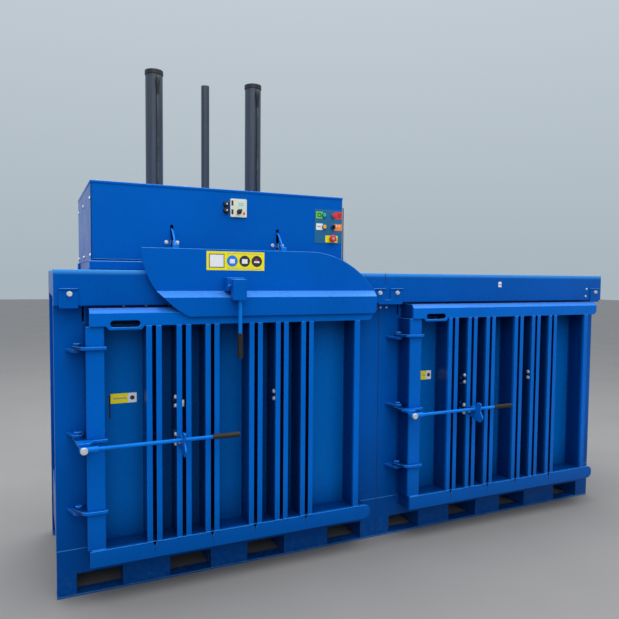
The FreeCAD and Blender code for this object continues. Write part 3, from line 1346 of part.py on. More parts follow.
def button_bezels():
    rings = []
    for x, z in button_places():
        ring = rod((x, -PANEL_THICK, z), (0, -1, 0), BEZEL_RADIUS, BEZEL_HEIGHT)
        ring = ring.cut(rod((x, 0, z), (0, -1, 0), BUTTON_RADIUS + BUTTON_GAP,
                            PANEL_THICK + BEZEL_HEIGHT + 1))
        rings.append(ring)
    x, z = on_panel(SELECTOR)
    rings.append(rod((x, -PANEL_THICK, z), (0, -1, 0), BEZEL_RADIUS, SELECTOR_SEAT))
    x, z = on_panel(STOP_BUTTON)
    ring = rod((x, -PANEL_THICK, z), (0, -1, 0), BEZEL_RADIUS, BEZEL_HEIGHT)
    rings.append(ring.cut(rod((x, 0, z), (0, -1, 0), STOP_STEM_RADIUS + BUTTON_GAP,
                              PANEL_THICK + BEZEL_HEIGHT + 1)))
    return Part.makeCompound(rings)


def push_button(place_xz):
    x, z = on_panel(place_xz)
    front = -PANEL_THICK - BUTTON_PROUD
    cap = rod((x, front, z), (0, 1, 0), BUTTON_RADIUS,
              BUTTON_PROUD + PANEL_THICK + BUTTON_TAIL)
    return cap.makeChamfer(1.0, [e for e in cap.Edges if e.BoundBox.YMax < front + 1e-3])


def stop_button():
    """Mushroom head on a stem that passes through the panel."""
    x, z = on_panel(STOP_BUTTON)
    back = -PANEL_THICK - BEZEL_HEIGHT - STOP_STEM
    stem = rod((x, BUTTON_TAIL, z), (0, -1, 0), STOP_STEM_RADIUS, BUTTON_TAIL - back)
    head = rod((x, back, z), (0, -1, 0), STOP_RADIUS, STOP_HEAD)
    front = back - STOP_HEAD
    head = head.makeFillet(5.0, [e for e in head.Edges if e.BoundBox.YMax < front + 1e-3])
    return fuse([stem, head])


def turn_knob(x, z, seat, radius, angle):
    disc = rod((x, seat, z), (0, -1, 0), radius, KNOB_HEIGHT * 0.4)
    bar = box(x - KNOB_GRIP_WIDTH / 2, seat - KNOB_HEIGHT, z - radius, x + KNOB_GRIP_WIDTH / 2,
              seat, z + radius)
    bar.rotate(V(x, seat, z), V(0, 1, 0), angle)
    return fuse([disc, bar])


def isolator_plate():
    x0, x1 = isolator_start(), isolator_start() + ISOLATOR_WIDTH
    z0, z1 = ISOLATOR_BOTTOM, ISOLATOR_BOTTOM + ISOLATOR_HEIGHT
    return prism([(x0, z0, 5), (x1, z0, 5), (x1, z1, 5), (x0, z1, 5)], "XZ", -ISOLATOR_THICK, 0)


def key_sockets():
    sockets = []
    for rise in SOCKET_HEIGHTS:
        dome = rod((isolator_start() - SOCKET_BACK, 0, ISOLATOR_BOTTOM + rise), (0, -1, 0),
                   SOCKET_RADIUS, SOCKET_HEIGHT)
        sockets.append(dome.makeFillet(4.0, [e for e in dome.Edges
                                             if e.BoundBox.YMax < 1e-3 - SOCKET_HEIGHT]))
    return Part.makeCompound(sockets)


def group(*shapes):
    return Part.makeCompound(list(shapes))


def all_nodes():
    nodes = {}
    starts = (0.0, MODULE_LENGTH)
    for side, x0 in zip(("left", "right"), starts):
        wide = x0 + MODULE_LENGTH - RIGHT_WALL
        nodes["base_" + side] = group(base_skirts(x0), base_webs(x0))
        column = side_wall(x0, LEFT_WALL, -1 if side == "left" else 0).cut(latch_slot(x0))
        nodes["shell_" + side] = group(column,
                                       side_wall(wide, RIGHT_WALL, 1 if side == "right" else 0),
                                       rear_wall(x0), lintel(x0))
        nodes["rails_" + side] = group(rail(x0, False, side == "left", side == "right"),
                                       rail(x0, True, side == "left", side == "right"))
        nodes["door_post_" + side] = door_post(x0)
        nodes["door_top_bar_" + side] = door_top_bar(x0)
        nodes["door_bottom_bar_" + side] = door_bottom_bar(x0)
        nodes["door_pans_" + side] = door_pans(x0)
        nodes["door_lugs_" + side] = door_lugs(x0)
        nodes["lever_catch_" + side] = group(lever_catch(x0), catch_bolts(x0))
        nodes["lever_" + side] = lever(x0)
        nodes["lever_grip_" + side] = lever_grip(x0)
        nodes["lever_bolt_" + side] = lever_pivot_bolt(x0)
    nodes["chamber_floors"] = group(*[chamber_floor(x0) for x0 in starts])
    nodes["frame_lugs"] = group(*[frame_lugs(x0) for x0 in starts])
    nodes["hinge_pins"] = group(*[hinge_pins(x0) for x0 in starts])
    nodes["ground_strips"] = ground_strips()
    nodes["wall_ribs"] = group(rear_ribs(), side_ribs())
    nodes["rail_brackets"] = group(rail_brackets(False), rail_brackets(True))
    nodes["bracket_bolts"] = bracket_bolts()
    nodes["carriage_frame"] = fuse([carriage_frame()] + wheel_axles())
    for side, x in zip(("left", "right"), wheel_places()):
        nodes["wheels_" + side] = group(wheel(x, False), wheel(x, True))
    right_side = HEAD_START + HEAD_LENGTH - HEAD_SHEET
    nodes["head_cover"] = group(head_front_panel(), head_rear_panel(), head_lid(),
                                head_side(HEAD_START, False), head_side(right_side, True))
    nodes["head_screws"] = group(side_bolts(), hanger_bolts())
    cylinders = [head_centre() + s * CYLINDER_OFFSET for s in (-1, 1)]
    nodes["cylinder_barrels"] = group(*[cylinder_barrel(x) for x in cylinders])
    nodes["cylinder_caps"] = group(*[cylinder_cap(x) for x in cylinders])
    nodes["cylinder_pipes"] = group(*[cylinder_pipe(x) for x in cylinders])
    nodes["piston_rods"] = group(*[piston_rod(x) for x in cylinders])
    nodes["platen"] = platen()
    nodes["guide_tube"] = guide_tube()
    nodes["guide_bush"] = guide_bush()
    nodes["hydraulic_unit"] = group(hydraulic_tank(), pump_motor())
    nodes["control_cabinet"] = group(control_cabinet(), cabinet_hinges())
    nodes["cabinet_door"] = cabinet_door()
    nodes["apron"] = apron()
    nodes["apron_hangers"] = apron_hangers()
    nodes["hanger_brackets"] = hanger_brackets()
    nodes["lock_bracket"] = group(lock_bracket(), lock_bolt())
    nodes["lock_handle"] = lock_handle()
    nodes["lock_grip"] = lock_grip()
    nodes["control_plate"] = group(control_plate(), button_bezels())
    nodes["green_button"] = push_button(GREEN_BUTTON)
    nodes["red_button"] = push_button(RED_BUTTON)
    nodes["amber_button"] = push_button(AMBER_BUTTON)
    nodes["stop_button"] = stop_button()
    seat = -PANEL_THICK - SELECTOR_SEAT
    nodes["selector"] = turn_knob(*on_panel(SELECTOR), seat - SEAT_GAP, BUTTON_RADIUS, 0)
    nodes["isolator_plate"] = group(isolator_plate(), key_sockets())
    knob = (isolator_start() + ISOLATOR_KNOB[0], ISOLATOR_BOTTOM + ISOLATOR_KNOB[1])
    nodes["isolator_knob"] = turn_knob(*knob, -ISOLATOR_THICK - SEAT_GAP,
                                       ISOLATOR_KNOB_RADIUS, -45)
    return nodes


os.makedirs("parts", exist_ok=True)
for name, shape in all_nodes().items():
    placed = shift(shape, -MODULE_LENGTH, -BODY_DEPTH / 2, 0)
    placed.exportStep("parts/" + name + ".step")
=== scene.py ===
import math

import bmesh
import bpy
from mathutils import Matrix, Vector


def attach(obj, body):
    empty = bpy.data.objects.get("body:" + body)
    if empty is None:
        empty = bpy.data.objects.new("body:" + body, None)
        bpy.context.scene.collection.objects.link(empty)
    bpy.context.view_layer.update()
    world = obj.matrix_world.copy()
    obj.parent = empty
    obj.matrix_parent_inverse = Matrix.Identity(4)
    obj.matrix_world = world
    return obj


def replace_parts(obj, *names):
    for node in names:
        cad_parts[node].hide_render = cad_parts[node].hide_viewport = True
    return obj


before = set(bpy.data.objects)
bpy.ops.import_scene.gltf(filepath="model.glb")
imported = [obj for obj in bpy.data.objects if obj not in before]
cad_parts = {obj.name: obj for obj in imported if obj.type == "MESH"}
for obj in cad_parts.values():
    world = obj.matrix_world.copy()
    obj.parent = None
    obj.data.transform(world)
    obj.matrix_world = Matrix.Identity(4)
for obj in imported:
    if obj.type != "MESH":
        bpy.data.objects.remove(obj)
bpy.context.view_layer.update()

# All sizes are in millimetres from the front left corner of the left column, at the floor.
machine = {
    "corner": (1790.0, 435.0, 0.0),
    "pitch": 1790.0,
    "doorBodies": {"left": "chassis", "right": "right_door"},
}


def at(x, y, z):
    cornerX, cornerY, cornerZ = machine["corner"]
    return Vector(((x - cornerX) / 1000.0, (y - cornerY) / 1000.0, (z - cornerZ) / 1000.0))


def hexColour(text):
    channels = [int(text[i:i + 2], 16) / 255.0 for i in (1, 3, 5)]
    linear = [c / 12.92 if c <= 0.04045 else ((c + 0.055) / 1.055) ** 2.4 for c in channels]
    return (*linear, 1.0)


def addNode(tree, kind, settings=None, inputs=None):
    node = tree.nodes.new(kind)
    for key, value in (settings or {}).items():
        setattr(node, key, value)
    for key, value in (inputs or {}).items():
        if isinstance(value, bpy.types.NodeSocket):
            tree.links.new(value, node.inputs[key])
        else:
            node.inputs[key].default_value = value
    return node


def startMaterial(name):
    material = bpy.data.materials.new(name)
    material.use_nodes = True
    material.node_tree.nodes.clear()
    place = addNode(material.node_tree, "ShaderNodeTexCoord").outputs["Object"]
    return material, material.node_tree, place


# Powder coat is sprayed as dry polyester powder and baked: even saturated colour, a soft gloss,
# faint orange peel, and a film that rounds every edge, along which a pale line is painted as a highlight.
paintFilm = {
    "cloudMm": 420.0,
    "cloudSpan": (0.35, 0.65),
    "peelMm": 9.0,          # real orange peel is 1 to 2 mm, drawn coarser so that it shows
    "peelDeepMm": 0.05,
    "peelStrength": 0.3,
    "wavyMm": 380.0,        # folded sheet is never quite flat
    "wavyDeepMm": 0.9,
    "wavyStrength": 0.5,
    "occlusionShadeSpan": (0.1, 0.75),
    "occlusionShadeMost": 0.85,
    "slopeHighlight": "#70BAFF",       # painted highlight: slopes that look up are painted paler, as the sky would light them
    "slopeHighlightRange": (0.25, 0.6),
    "flatHighlight": 0.0,         # the painted highlight is left off level tops
    "flatSlope": (0.85, 0.98),
    "edgeMm": 4.5,          # a real film edge is about 1 mm, drawn wider so that it shows
    "edge": "#62B6FF",      # painted highlight: edges that lean towards the sky are painted as a pale line
    "highlightLean": (-0.35, -0.1, 0.9),
    "highlightSpan": (0.1, 0.4),
    "highlightStrength": 0.8,
    "dust": "#3F6FA6",
    "dustTopMm": 190.0,
    "dustMost": 0.28,
    "speckMm": 26.0,
    "speckSpan": (0.45, 0.7),
    "smudgeMm": 110.0,
    "smudgeSpan": (0.3, 0.75),
    "smudgeGloss": (-0.05, 0.08),
    "tint": "#3F80FF",      # seen straight on, the pigment colours the film's own reflection
}

# The low colour is painted shade, darker towards the ground; the rail-top colour a painted highlight along
# the fold at a rail's top; the fold colours painted shade on a door's webs, from its front to its back; and
# the pocket colour painted shade in tight places.
# The levers are a lighter batch, whose paint is also a painted highlight on the slat welds and hanger arms;
# bales have scuffed the chamber floors and the plate dull, and that dark paint also draws painted shadow
# lines on the cover.
paints = {
    "blueSheetPowderCoat": {"base": "#005CBA", "deep": "#0058B2", "rough": 0.28, "slopeHighlight": 0.5},
    "blueRailPowderCoat": {"base": "#0057B1", "deep": "#0052A8", "rough": 0.28, "slopeHighlight": 0.4,
                           "railTopHighlight": "#4BA2F0", "railTopHighlightMm": (1572.0, 1600.0)},
    "blueFramePowderCoat": {"base": "#005BB6", "deep": "#0055AB", "rough": 0.30, "slopeHighlight": 0.3,
                            "low": "#004188", "lowTopMm": 820.0},
    "blueDoorPowderCoat": {"base": "#0168CC", "deep": "#0063C2", "rough": 0.28, "slopeHighlight": 0.1,
                           "low": "#00448A", "lowTopMm": 560.0,
                           "webShade": (("#00306C", -142.0, -120.0), ("#0068BE", -30.0, -9.0)),
                           "occlusionShade": "#00265C", "occlusionShadeMm": 190.0},
    "brightLeverAndHighlightPowderCoat": {"base": "#0F7ADC", "deep": "#0A6FCD", "rough": 0.26, "slopeHighlight": 0.0},
    "scuffedFloorAndShadowPowderCoat": {"base": "#0B3C78", "deep": "#082C5A", "rough": 0.48, "slopeHighlight": 0.0},
}


def cloudAndShadeColour(tree, place, along, v):
    # the powder's cloudy tone, with painted shade low down, on a door's webs and in tight places
    film = paintFilm
    clouds = addNode(tree, "ShaderNodeTexNoise", inputs={
        "Vector": place, "Scale": 1000.0 / film["cloudMm"], "Detail": 4.0})
    cloudy = addNode(tree, "ShaderNodeMapRange", inputs={
        "Value": clouds.outputs["Fac"], "From Min": film["cloudSpan"][0],
        "From Max": film["cloudSpan"][1]})
    colour = addNode(tree, "ShaderNodeMix", {"data_type": "RGBA"}, {
        0: cloudy.outputs["Result"], 6: hexColour(v["deep"]), 7: hexColour(v["base"])})
    if "low" in v:  # painted shade: the paint is darker towards the ground
        low = addNode(tree, "ShaderNodeMapRange", {"interpolation_type": "SMOOTHSTEP"}, {
            "Value": along.outputs["Z"], "From Max": v["lowTopMm"] / 1000.0,
            "To Min": 1.0, "To Max": 0.0})
        colour = addNode(tree, "ShaderNodeMix", {"data_type": "RGBA"}, {
            0: low.outputs["Result"], 6: colour.outputs[2], 7: hexColour(v["low"])})
    for shade, front, back in v.get("webShade", ()):  # painted shade: a door's webs darken behind its front and clear again at the back of the pans
        webShadeMask = addNode(tree, "ShaderNodeMapRange", {"interpolation_type": "SMOOTHSTEP"}, {
            "Value": along.outputs["Y"], "From Min": at(0.0, front, 0.0).y,
            "From Max": at(0.0, back, 0.0).y})
        colour = addNode(tree, "ShaderNodeMix", {"data_type": "RGBA"}, {
            0: webShadeMask.outputs["Result"], 6: colour.outputs[2], 7: hexColour(shade)})
    if "occlusionShade" in v:  # painted shade: the more closely nearby surfaces hem a place in, the darker it is painted
        exposed = addNode(tree, "ShaderNodeAmbientOcclusion", {"samples": 6}, {
            "Distance": v["occlusionShadeMm"] / 1000.0})
        occlusionShade = addNode(tree, "ShaderNodeMapRange", {"interpolation_type": "SMOOTHSTEP"}, {
            "Value": exposed.outputs["AO"], "From Min": film["occlusionShadeSpan"][0],
            "From Max": film["occlusionShadeSpan"][1], "To Min": film["occlusionShadeMost"], "To Max": 0.0})
        colour = addNode(tree, "ShaderNodeMix", {"data_type": "RGBA"}, {
            0: occlusionShade.outputs["Result"], 6: colour.outputs[2], 7: hexColour(v["occlusionShade"])})
    return colour


def highlightsAndDustColour(tree, place, along, v, colour, edge):
    # painted highlights on slopes, rail tops and edges, and dust near the floor
    film = paintFilm
    up = addNode(tree, "ShaderNodeSeparateXYZ", inputs={
        "Vector": addNode(tree, "ShaderNodeTexCoord").outputs["Normal"]})
    # painted highlight: faces that slope up are painted paler, level tops not
    slopeHighlightMask = addNode(tree, "ShaderNodeMapRange", {"interpolation_type": "SMOOTHSTEP"}, {
        "Value": up.outputs["Z"], "From Min": film["slopeHighlightRange"][0],
        "From Max": film["slopeHighlightRange"][1], "To Max": v["slopeHighlight"]})
    sloped = addNode(tree, "ShaderNodeMapRange", {"interpolation_type": "SMOOTHSTEP"}, {
        "Value": up.outputs["Z"], "From Min": film["flatSlope"][0],
        "From Max": film["flatSlope"][1], "To Min": 1.0, "To Max": film["flatHighlight"]})
    if "railTopHighlight" in v:  # painted highlight: a paler band along a rail's top fold, as if it caught the sky
        low, high = (at(0.0, 0.0, height).z for height in v["railTopHighlightMm"])
        railTopHighlight = addNode(tree, "ShaderNodeMapRange", {"interpolation_type": "SMOOTHSTEP"}, {
            "Value": along.outputs["Z"], "From Min": low, "From Max": high})
        upright = addNode(tree, "ShaderNodeMath", {"operation": "MULTIPLY"}, {
            0: railTopHighlight.outputs["Result"], 1: sloped.outputs["Result"]})
        colour = addNode(tree, "ShaderNodeMix", {"data_type": "RGBA"}, {
            0: upright.outputs["Value"], 6: colour.outputs[2], 7: hexColour(v["railTopHighlight"])})
    slopeHighlightAmount = addNode(tree, "ShaderNodeMath", {"operation": "MULTIPLY"}, {
        0: slopeHighlightMask.outputs["Result"], 1: sloped.outputs["Result"]})
    colour = addNode(tree, "ShaderNodeMix", {"data_type": "RGBA"}, {
        0: slopeHighlightAmount.outputs["Value"], 6: colour.outputs[2], 7: hexColour(film["slopeHighlight"])})
    # painted highlight: a pale line is painted where a rounded edge leans towards the sky
    lean = addNode(tree, "ShaderNodeVectorMath", {"operation": "SUBTRACT"}, {
        0: edge.outputs["Normal"], 1: addNode(tree, "ShaderNodeNewGeometry").outputs["Normal"]})
    edgeHighlightLean = addNode(tree, "ShaderNodeVectorMath", {"operation": "DOT_PRODUCT"}, {
        0: lean.outputs["Vector"], 1: film["highlightLean"]})
    line = addNode(tree, "ShaderNodeMapRange", inputs={
        "Value": edgeHighlightLean.outputs["Value"], "From Min": film["highlightSpan"][0],
        "From Max": film["highlightSpan"][1], "To Max": film["highlightStrength"]})
    colour = addNode(tree, "ShaderNodeMix", {"data_type": "RGBA"}, {
        0: line.outputs["Result"], 6: colour.outputs[2], 7: hexColour(film["edge"])})
    nearFloor = addNode(tree, "ShaderNodeMapRange", {"interpolation_type": "SMOOTHSTEP"}, {
        "Value": along.outputs["Z"], "From Max": film["dustTopMm"] / 1000.0,
        "To Min": film["dustMost"], "To Max": 0.0})
    speckle = addNode(tree, "ShaderNodeTexNoise", inputs={
        "Vector": place, "Scale": 1000.0 / film["speckMm"], "Detail": 6.0, "Roughness": 0.7})
    spots = addNode(tree, "ShaderNodeMapRange", inputs={
        "Value": speckle.outputs["Fac"], "From Min": film["speckSpan"][0],
        "From Max": film["speckSpan"][1]})
    dusty = addNode(tree, "ShaderNodeMath", {"operation": "MULTIPLY"}, {
        0: nearFloor.outputs["Result"], 1: spots.outputs["Result"]})
    return addNode(tree, "ShaderNodeMix", {"data_type": "RGBA"}, {
        0: dusty.outputs["Value"], 6: colour.outputs[2], 7: hexColour(film["dust"])})


def powderCoat(name):
    v = paints[name]
    film = paintFilm
    material, tree, place = startMaterial(name)
    along = addNode(tree, "ShaderNodeSeparateXYZ", inputs={"Vector": place})
    edge = addNode(tree, "ShaderNodeBevel", {"samples": 6}, {"Radius": film["edgeMm"] / 1000.0})
    colour = cloudAndShadeColour(tree, place, along, v)
    colour = highlightsAndDustColour(tree, place, along, v, colour, edge)
    smudge = addNode(tree, "ShaderNodeTexNoise", inputs={
        "Vector": place, "Scale": 1000.0 / film["smudgeMm"], "Detail": 5.0, "Roughness": 0.6})
    gloss = addNode(tree, "ShaderNodeMapRange", inputs={
        "Value": smudge.outputs["Fac"], "From Min": film["smudgeSpan"][0],
        "From Max": film["smudgeSpan"][1], "To Min": v["rough"] + film["smudgeGloss"][0],
        "To Max": v["rough"] + film["smudgeGloss"][1]})
    wavy = addNode(tree, "ShaderNodeTexNoise", inputs={
        "Vector": place, "Scale": 1000.0 / film["wavyMm"], "Detail": 1.0})
    sheet = addNode(tree, "ShaderNodeBump", inputs={
        "Height": wavy.outputs["Fac"], "Distance": film["wavyDeepMm"] / 1000.0,
        "Strength": film["wavyStrength"], "Normal": edge.outputs["Normal"]})
    peel = addNode(tree, "ShaderNodeTexNoise", inputs={
        "Vector": place, "Scale": 1000.0 / film["peelMm"], "Detail": 1.0})
    surface = addNode(tree, "ShaderNodeBump", inputs={
        "Height": peel.outputs["Fac"], "Distance": film["peelDeepMm"] / 1000.0,
        "Strength": film["peelStrength"], "Normal": sheet.outputs["Normal"]})
    shader = addNode(tree, "ShaderNodeBsdfPrincipled", inputs={
        "Base Color": colour.outputs[2], "Roughness": gloss.outputs["Result"], "IOR": 1.5,
        "Specular Tint": hexColour(film["tint"]), "Normal": surface.outputs["Normal"]})
    addNode(tree, "ShaderNodeOutputMaterial", inputs={"Surface": shader.outputs["BSDF"]})
    return material


sheetPaint = powderCoat("blueSheetPowderCoat")
railPaint = powderCoat("blueRailPowderCoat")
framePaint = powderCoat("blueFramePowderCoat")
doorPaint = powderCoat("blueDoorPowderCoat")
leverAndHighlightPaint = powderCoat("brightLeverAndHighlightPowderCoat")
floorAndShadowPaint = powderCoat("scuffedFloorAndShadowPowderCoat")
print("powder coats mixed")

# Every metal and plastic skin has slightly rounded edges.
skinValues = {
    "edgeMm": 1.5,
    "span": (0.3, 0.7),  # the part of the noise that runs from the dark colour to the full one
    "metalDeepMm": 0.1,
    "metalDull": 0.12,
    "grainDeepMm": 0.08,
    "plasticDull": 0.08,
    "ribDeepMm": 1.2,
    "waveBands": 3.2,    # bands that the wave texture draws in one metre at a scale of 1
}

# Bare and plated metals: turned, drawn or cast, with a cloudy skin that breaks up the highlight.
metals = {
    # a whitish film has dulled the plating
    "brightZincPlate": {"colour": "#F4F5F4", "dark": "#D2D5D5", "rough": 0.34, "cloudMm": 14.0,
                        "metallic": 0.65},
    # treads and hubs are turned and left bare: dark grey with a dull shine
    "machinedCastIron": {"colour": "#77787B", "dark": "#55565A", "rough": 0.42, "cloudMm": 20.0,
                         "metallic": 1.0},
    # ground and chromed rods mirror what is round them
    "hardChromedSteel": {"colour": "#E4E6EA", "dark": "#CDD0D6", "rough": 0.08, "cloudMm": 160.0,
                         "metallic": 1.0},
    # a warm brown that has lost its first shine
    "turnedBronze": {"colour": "#B98B4B", "dark": "#8F6934", "rough": 0.35, "cloudMm": 18.0,
                     "metallic": 1.0},
    # drawn through a die and oiled: even dark grey
    "drawnSteelPipe": {"colour": "#5B636B", "dark": "#3F464D", "rough": 0.34, "cloudMm": 60.0,
                       "metallic": 1.0},
}


def metalSkin(name):
    v, skin = metals[name], skinValues
    low, high = skin["span"]
    material, tree, place = startMaterial(name)
    cloud = addNode(tree, "ShaderNodeTexNoise", inputs={
        "Vector": place, "Scale": 1000.0 / v["cloudMm"], "Detail": 4.0})
    shade = addNode(tree, "ShaderNodeMapRange", inputs={
        "Value": cloud.outputs["Fac"], "From Min": low, "From Max": high})
    colour = addNode(tree, "ShaderNodeMix", {"data_type": "RGBA"}, {
        0: shade.outputs["Result"], 6: hexColour(v["dark"]), 7: hexColour(v["colour"])})
    gloss = addNode(tree, "ShaderNodeMapRange", inputs={
        "Value": cloud.outputs["Fac"], "From Min": low, "From Max": high,
        "To Min": v["rough"] + skin["metalDull"], "To Max": v["rough"]})
    edge = addNode(tree, "ShaderNodeBevel", {"samples": 4}, {"Radius": skin["edgeMm"] / 1000.0})
    surface = addNode(tree, "ShaderNodeBump", inputs={
        "Height": cloud.outputs["Fac"], "Distance": skin["metalDeepMm"] / 1000.0, "Strength": 0.3,
        "Normal": edge.outputs["Normal"]})
    shader = addNode(tree, "ShaderNodeBsdfPrincipled", inputs={
        "Base Color": colour.outputs[2], "Metallic": v["metallic"],
        "Roughness": gloss.outputs["Result"], "Normal": surface.outputs["Normal"]})
    addNode(tree, "ShaderNodeOutputMaterial", inputs={"Surface": shader.outputs["BSDF"]})
    return material


zincPlate, castIron, chromeRod, bushBronze, pipeSteel = (metalSkin(name) for name in metals)

# Moulded plastics and enamels: a fine etched grain under an even colour. lineMm stretches the
# grain along the tube, as drawing leaves it, and ribMm rings a grip.
moulded = {
    # caps and collars, matt from the mould
    "blackPolyamide": {"colour": "#15181B", "dark": "#0D0F11", "rough": 0.42, "grainMm": 4.0},
    # knobs and key switches, polished a little by fingers
    "blackSwitchPlastic": {"colour": "#16171A", "dark": "#0E0F10", "rough": 0.33, "grainMm": 3.0},
    # grips of the levers: dull, with rings that the hand holds
    "brownGreyGripRubber": {"colour": "#24211F", "dark": "#141211", "rough": 0.6, "grainMm": 5.0,
                            "ribMm": 9.0},
    # push buttons: bright, smooth and glossy
    "greenLensPlastic": {"colour": "#0FBF9A", "dark": "#0CA886", "rough": 0.2, "grainMm": 4.0},
    "redButtonPlastic": {"colour": "#E0323A", "dark": "#C9262E", "rough": 0.25, "grainMm": 4.0},
    "amberLensPlastic": {"colour": "#FFAE14", "dark": "#F09C0C", "rough": 0.2, "grainMm": 4.0},
    # plates behind the switches: satin, with an even tone
    "creamSwitchPlastic": {"colour": "#E2E4D0", "dark": "#D5D8C4", "rough": 0.4, "grainMm": 4.0},
    "greyMarkPlastic": {"colour": "#A9B1B3", "dark": "#98A1A4", "rough": 0.4, "grainMm": 4.0},
    "tealFacePlastic": {"colour": "#06689A", "dark": "#055D8C", "rough": 0.36, "grainMm": 6.0},
    # enamel on drawn tube keeps faint lines along it
    "slateTubeEnamel": {"colour": "#3A4653", "dark": "#27313B", "rough": 0.36, "grainMm": 9.0,
                        "lineMm": 450.0},
    # structured enamel, as switch cabinets and pump units have: dull and finely pebbled
    "greyStructureEnamel": {"colour": "#BFCBCC", "dark": "#B0BDBE", "rough": 0.45,
                            "grainMm": 6.0},
    "unitGreyEnamel": {"colour": "#4A5257", "dark": "#3B4247", "rough": 0.45, "grainMm": 8.0},
}


def mouldedSkin(name):
    v, skin = moulded[name], skinValues
    low, high = skin["span"]
    material, tree, place = startMaterial(name)
    stretch = v["grainMm"] / v.get("lineMm", v["grainMm"])
    drawn = addNode(tree, "ShaderNodeMapping", inputs={
        "Vector": place, "Scale": (1.0, 1.0, stretch)})
    grain = addNode(tree, "ShaderNodeTexNoise", inputs={
        "Vector": drawn.outputs["Vector"], "Scale": 1000.0 / v["grainMm"], "Detail": 3.0})
    height, deepMm = grain.outputs["Fac"], skin["grainDeepMm"]
    if "ribMm" in v:
        ribs = addNode(tree, "ShaderNodeTexWave", {"bands_direction": "X"}, {
            "Vector": place, "Scale": 1000.0 / v["ribMm"] / skin["waveBands"]})
        height, deepMm = ribs.outputs["Fac"], skin["ribDeepMm"]
    shade = addNode(tree, "ShaderNodeMapRange", inputs={
        "Value": height, "From Min": low, "From Max": high})
    colour = addNode(tree, "ShaderNodeMix", {"data_type": "RGBA"}, {
        0: shade.outputs["Result"], 6: hexColour(v["dark"]), 7: hexColour(v["colour"])})
    gloss = addNode(tree, "ShaderNodeMapRange", inputs={
        "Value": height, "From Min": low, "From Max": high,
        "To Min": v["rough"], "To Max": v["rough"] + skin["plasticDull"]})
    edge = addNode(tree, "ShaderNodeBevel", {"samples": 4}, {"Radius": skin["edgeMm"] / 1000.0})
    surface = addNode(tree, "ShaderNodeBump", inputs={
        "Height": height, "Distance": deepMm / 1000.0, "Strength": 0.4,
        "Normal": edge.outputs["Normal"]})
    shader = addNode(tree, "ShaderNodeBsdfPrincipled", inputs={
        "Base Color": colour.outputs[2], "Roughness": gloss.outputs["Result"], "IOR": 1.5,
        "Normal": surface.outputs["Normal"]})
    addNode(tree, "ShaderNodeOutputMaterial", inputs={"Surface": shader.outputs["BSDF"]})
    return material


plastic = {name: mouldedSkin(name) for name in moulded}

# Screen-printed vinyl film: flat ink under a thin clear layer, with soft ripples from laying it.
inks = {"Yellow": "#F8EA06", "White": "#EEF1EF", "Blue": "#1A7BE2", "Charcoal": "#33303A",
        "Green": "#6BD04A", "Red": "#E2343C", "Orange": "#F4843C", "Pale": "#C9E4D8",
        "Grey": "#9AA4A4", "Black": "#0C0D10"}
vinylFilm = {"mottleMm": 12.0, "thinInk": 0.92, "rough": (0.3, 0.42), "rippleMm": 40.0,
             "rippleDeepMm": 0.2}


def printedVinyl(name, colour):
    v = vinylFilm
    material, tree, place = startMaterial("printedVinyl" + name)
    mottle = addNode(tree, "ShaderNodeTexNoise", inputs={
        "Vector": place, "Scale": 1000.0 / v["mottleMm"], "Detail": 3.0})
    full = hexColour(colour)
    thin = tuple(v["thinInk"] * channel for channel in full[:3]) + (1.0,)
    ink = addNode(tree, "ShaderNodeMix", {"data_type": "RGBA"}, {
        0: mottle.outputs["Fac"], 6: thin, 7: full})
    gloss = addNode(tree, "ShaderNodeMapRange", inputs={
        "Value": mottle.outputs["Fac"], "To Min": v["rough"][0], "To Max": v["rough"][1]})
    ripple = addNode(tree, "ShaderNodeTexNoise", inputs={
        "Vector": place, "Scale": 1000.0 / v["rippleMm"]})
    surface = addNode(tree, "ShaderNodeBump", inputs={
        "Height": ripple.outputs["Fac"], "Distance": v["rippleDeepMm"] / 1000.0,
        "Strength": 0.2})
    shader = addNode(tree, "ShaderNodeBsdfPrincipled", inputs={
        "Base Color": ink.outputs[2], "Roughness": gloss.outputs["Result"], "IOR": 1.46,
        "Normal": surface.outputs["Normal"]})
    addNode(tree, "ShaderNodeOutputMaterial", inputs={"Surface": shader.outputs["BSDF"]})
    return material


vinyl = {name: printedVinyl(name, colour) for name, colour in inks.items()}
print("metals, plastics and vinyls made")

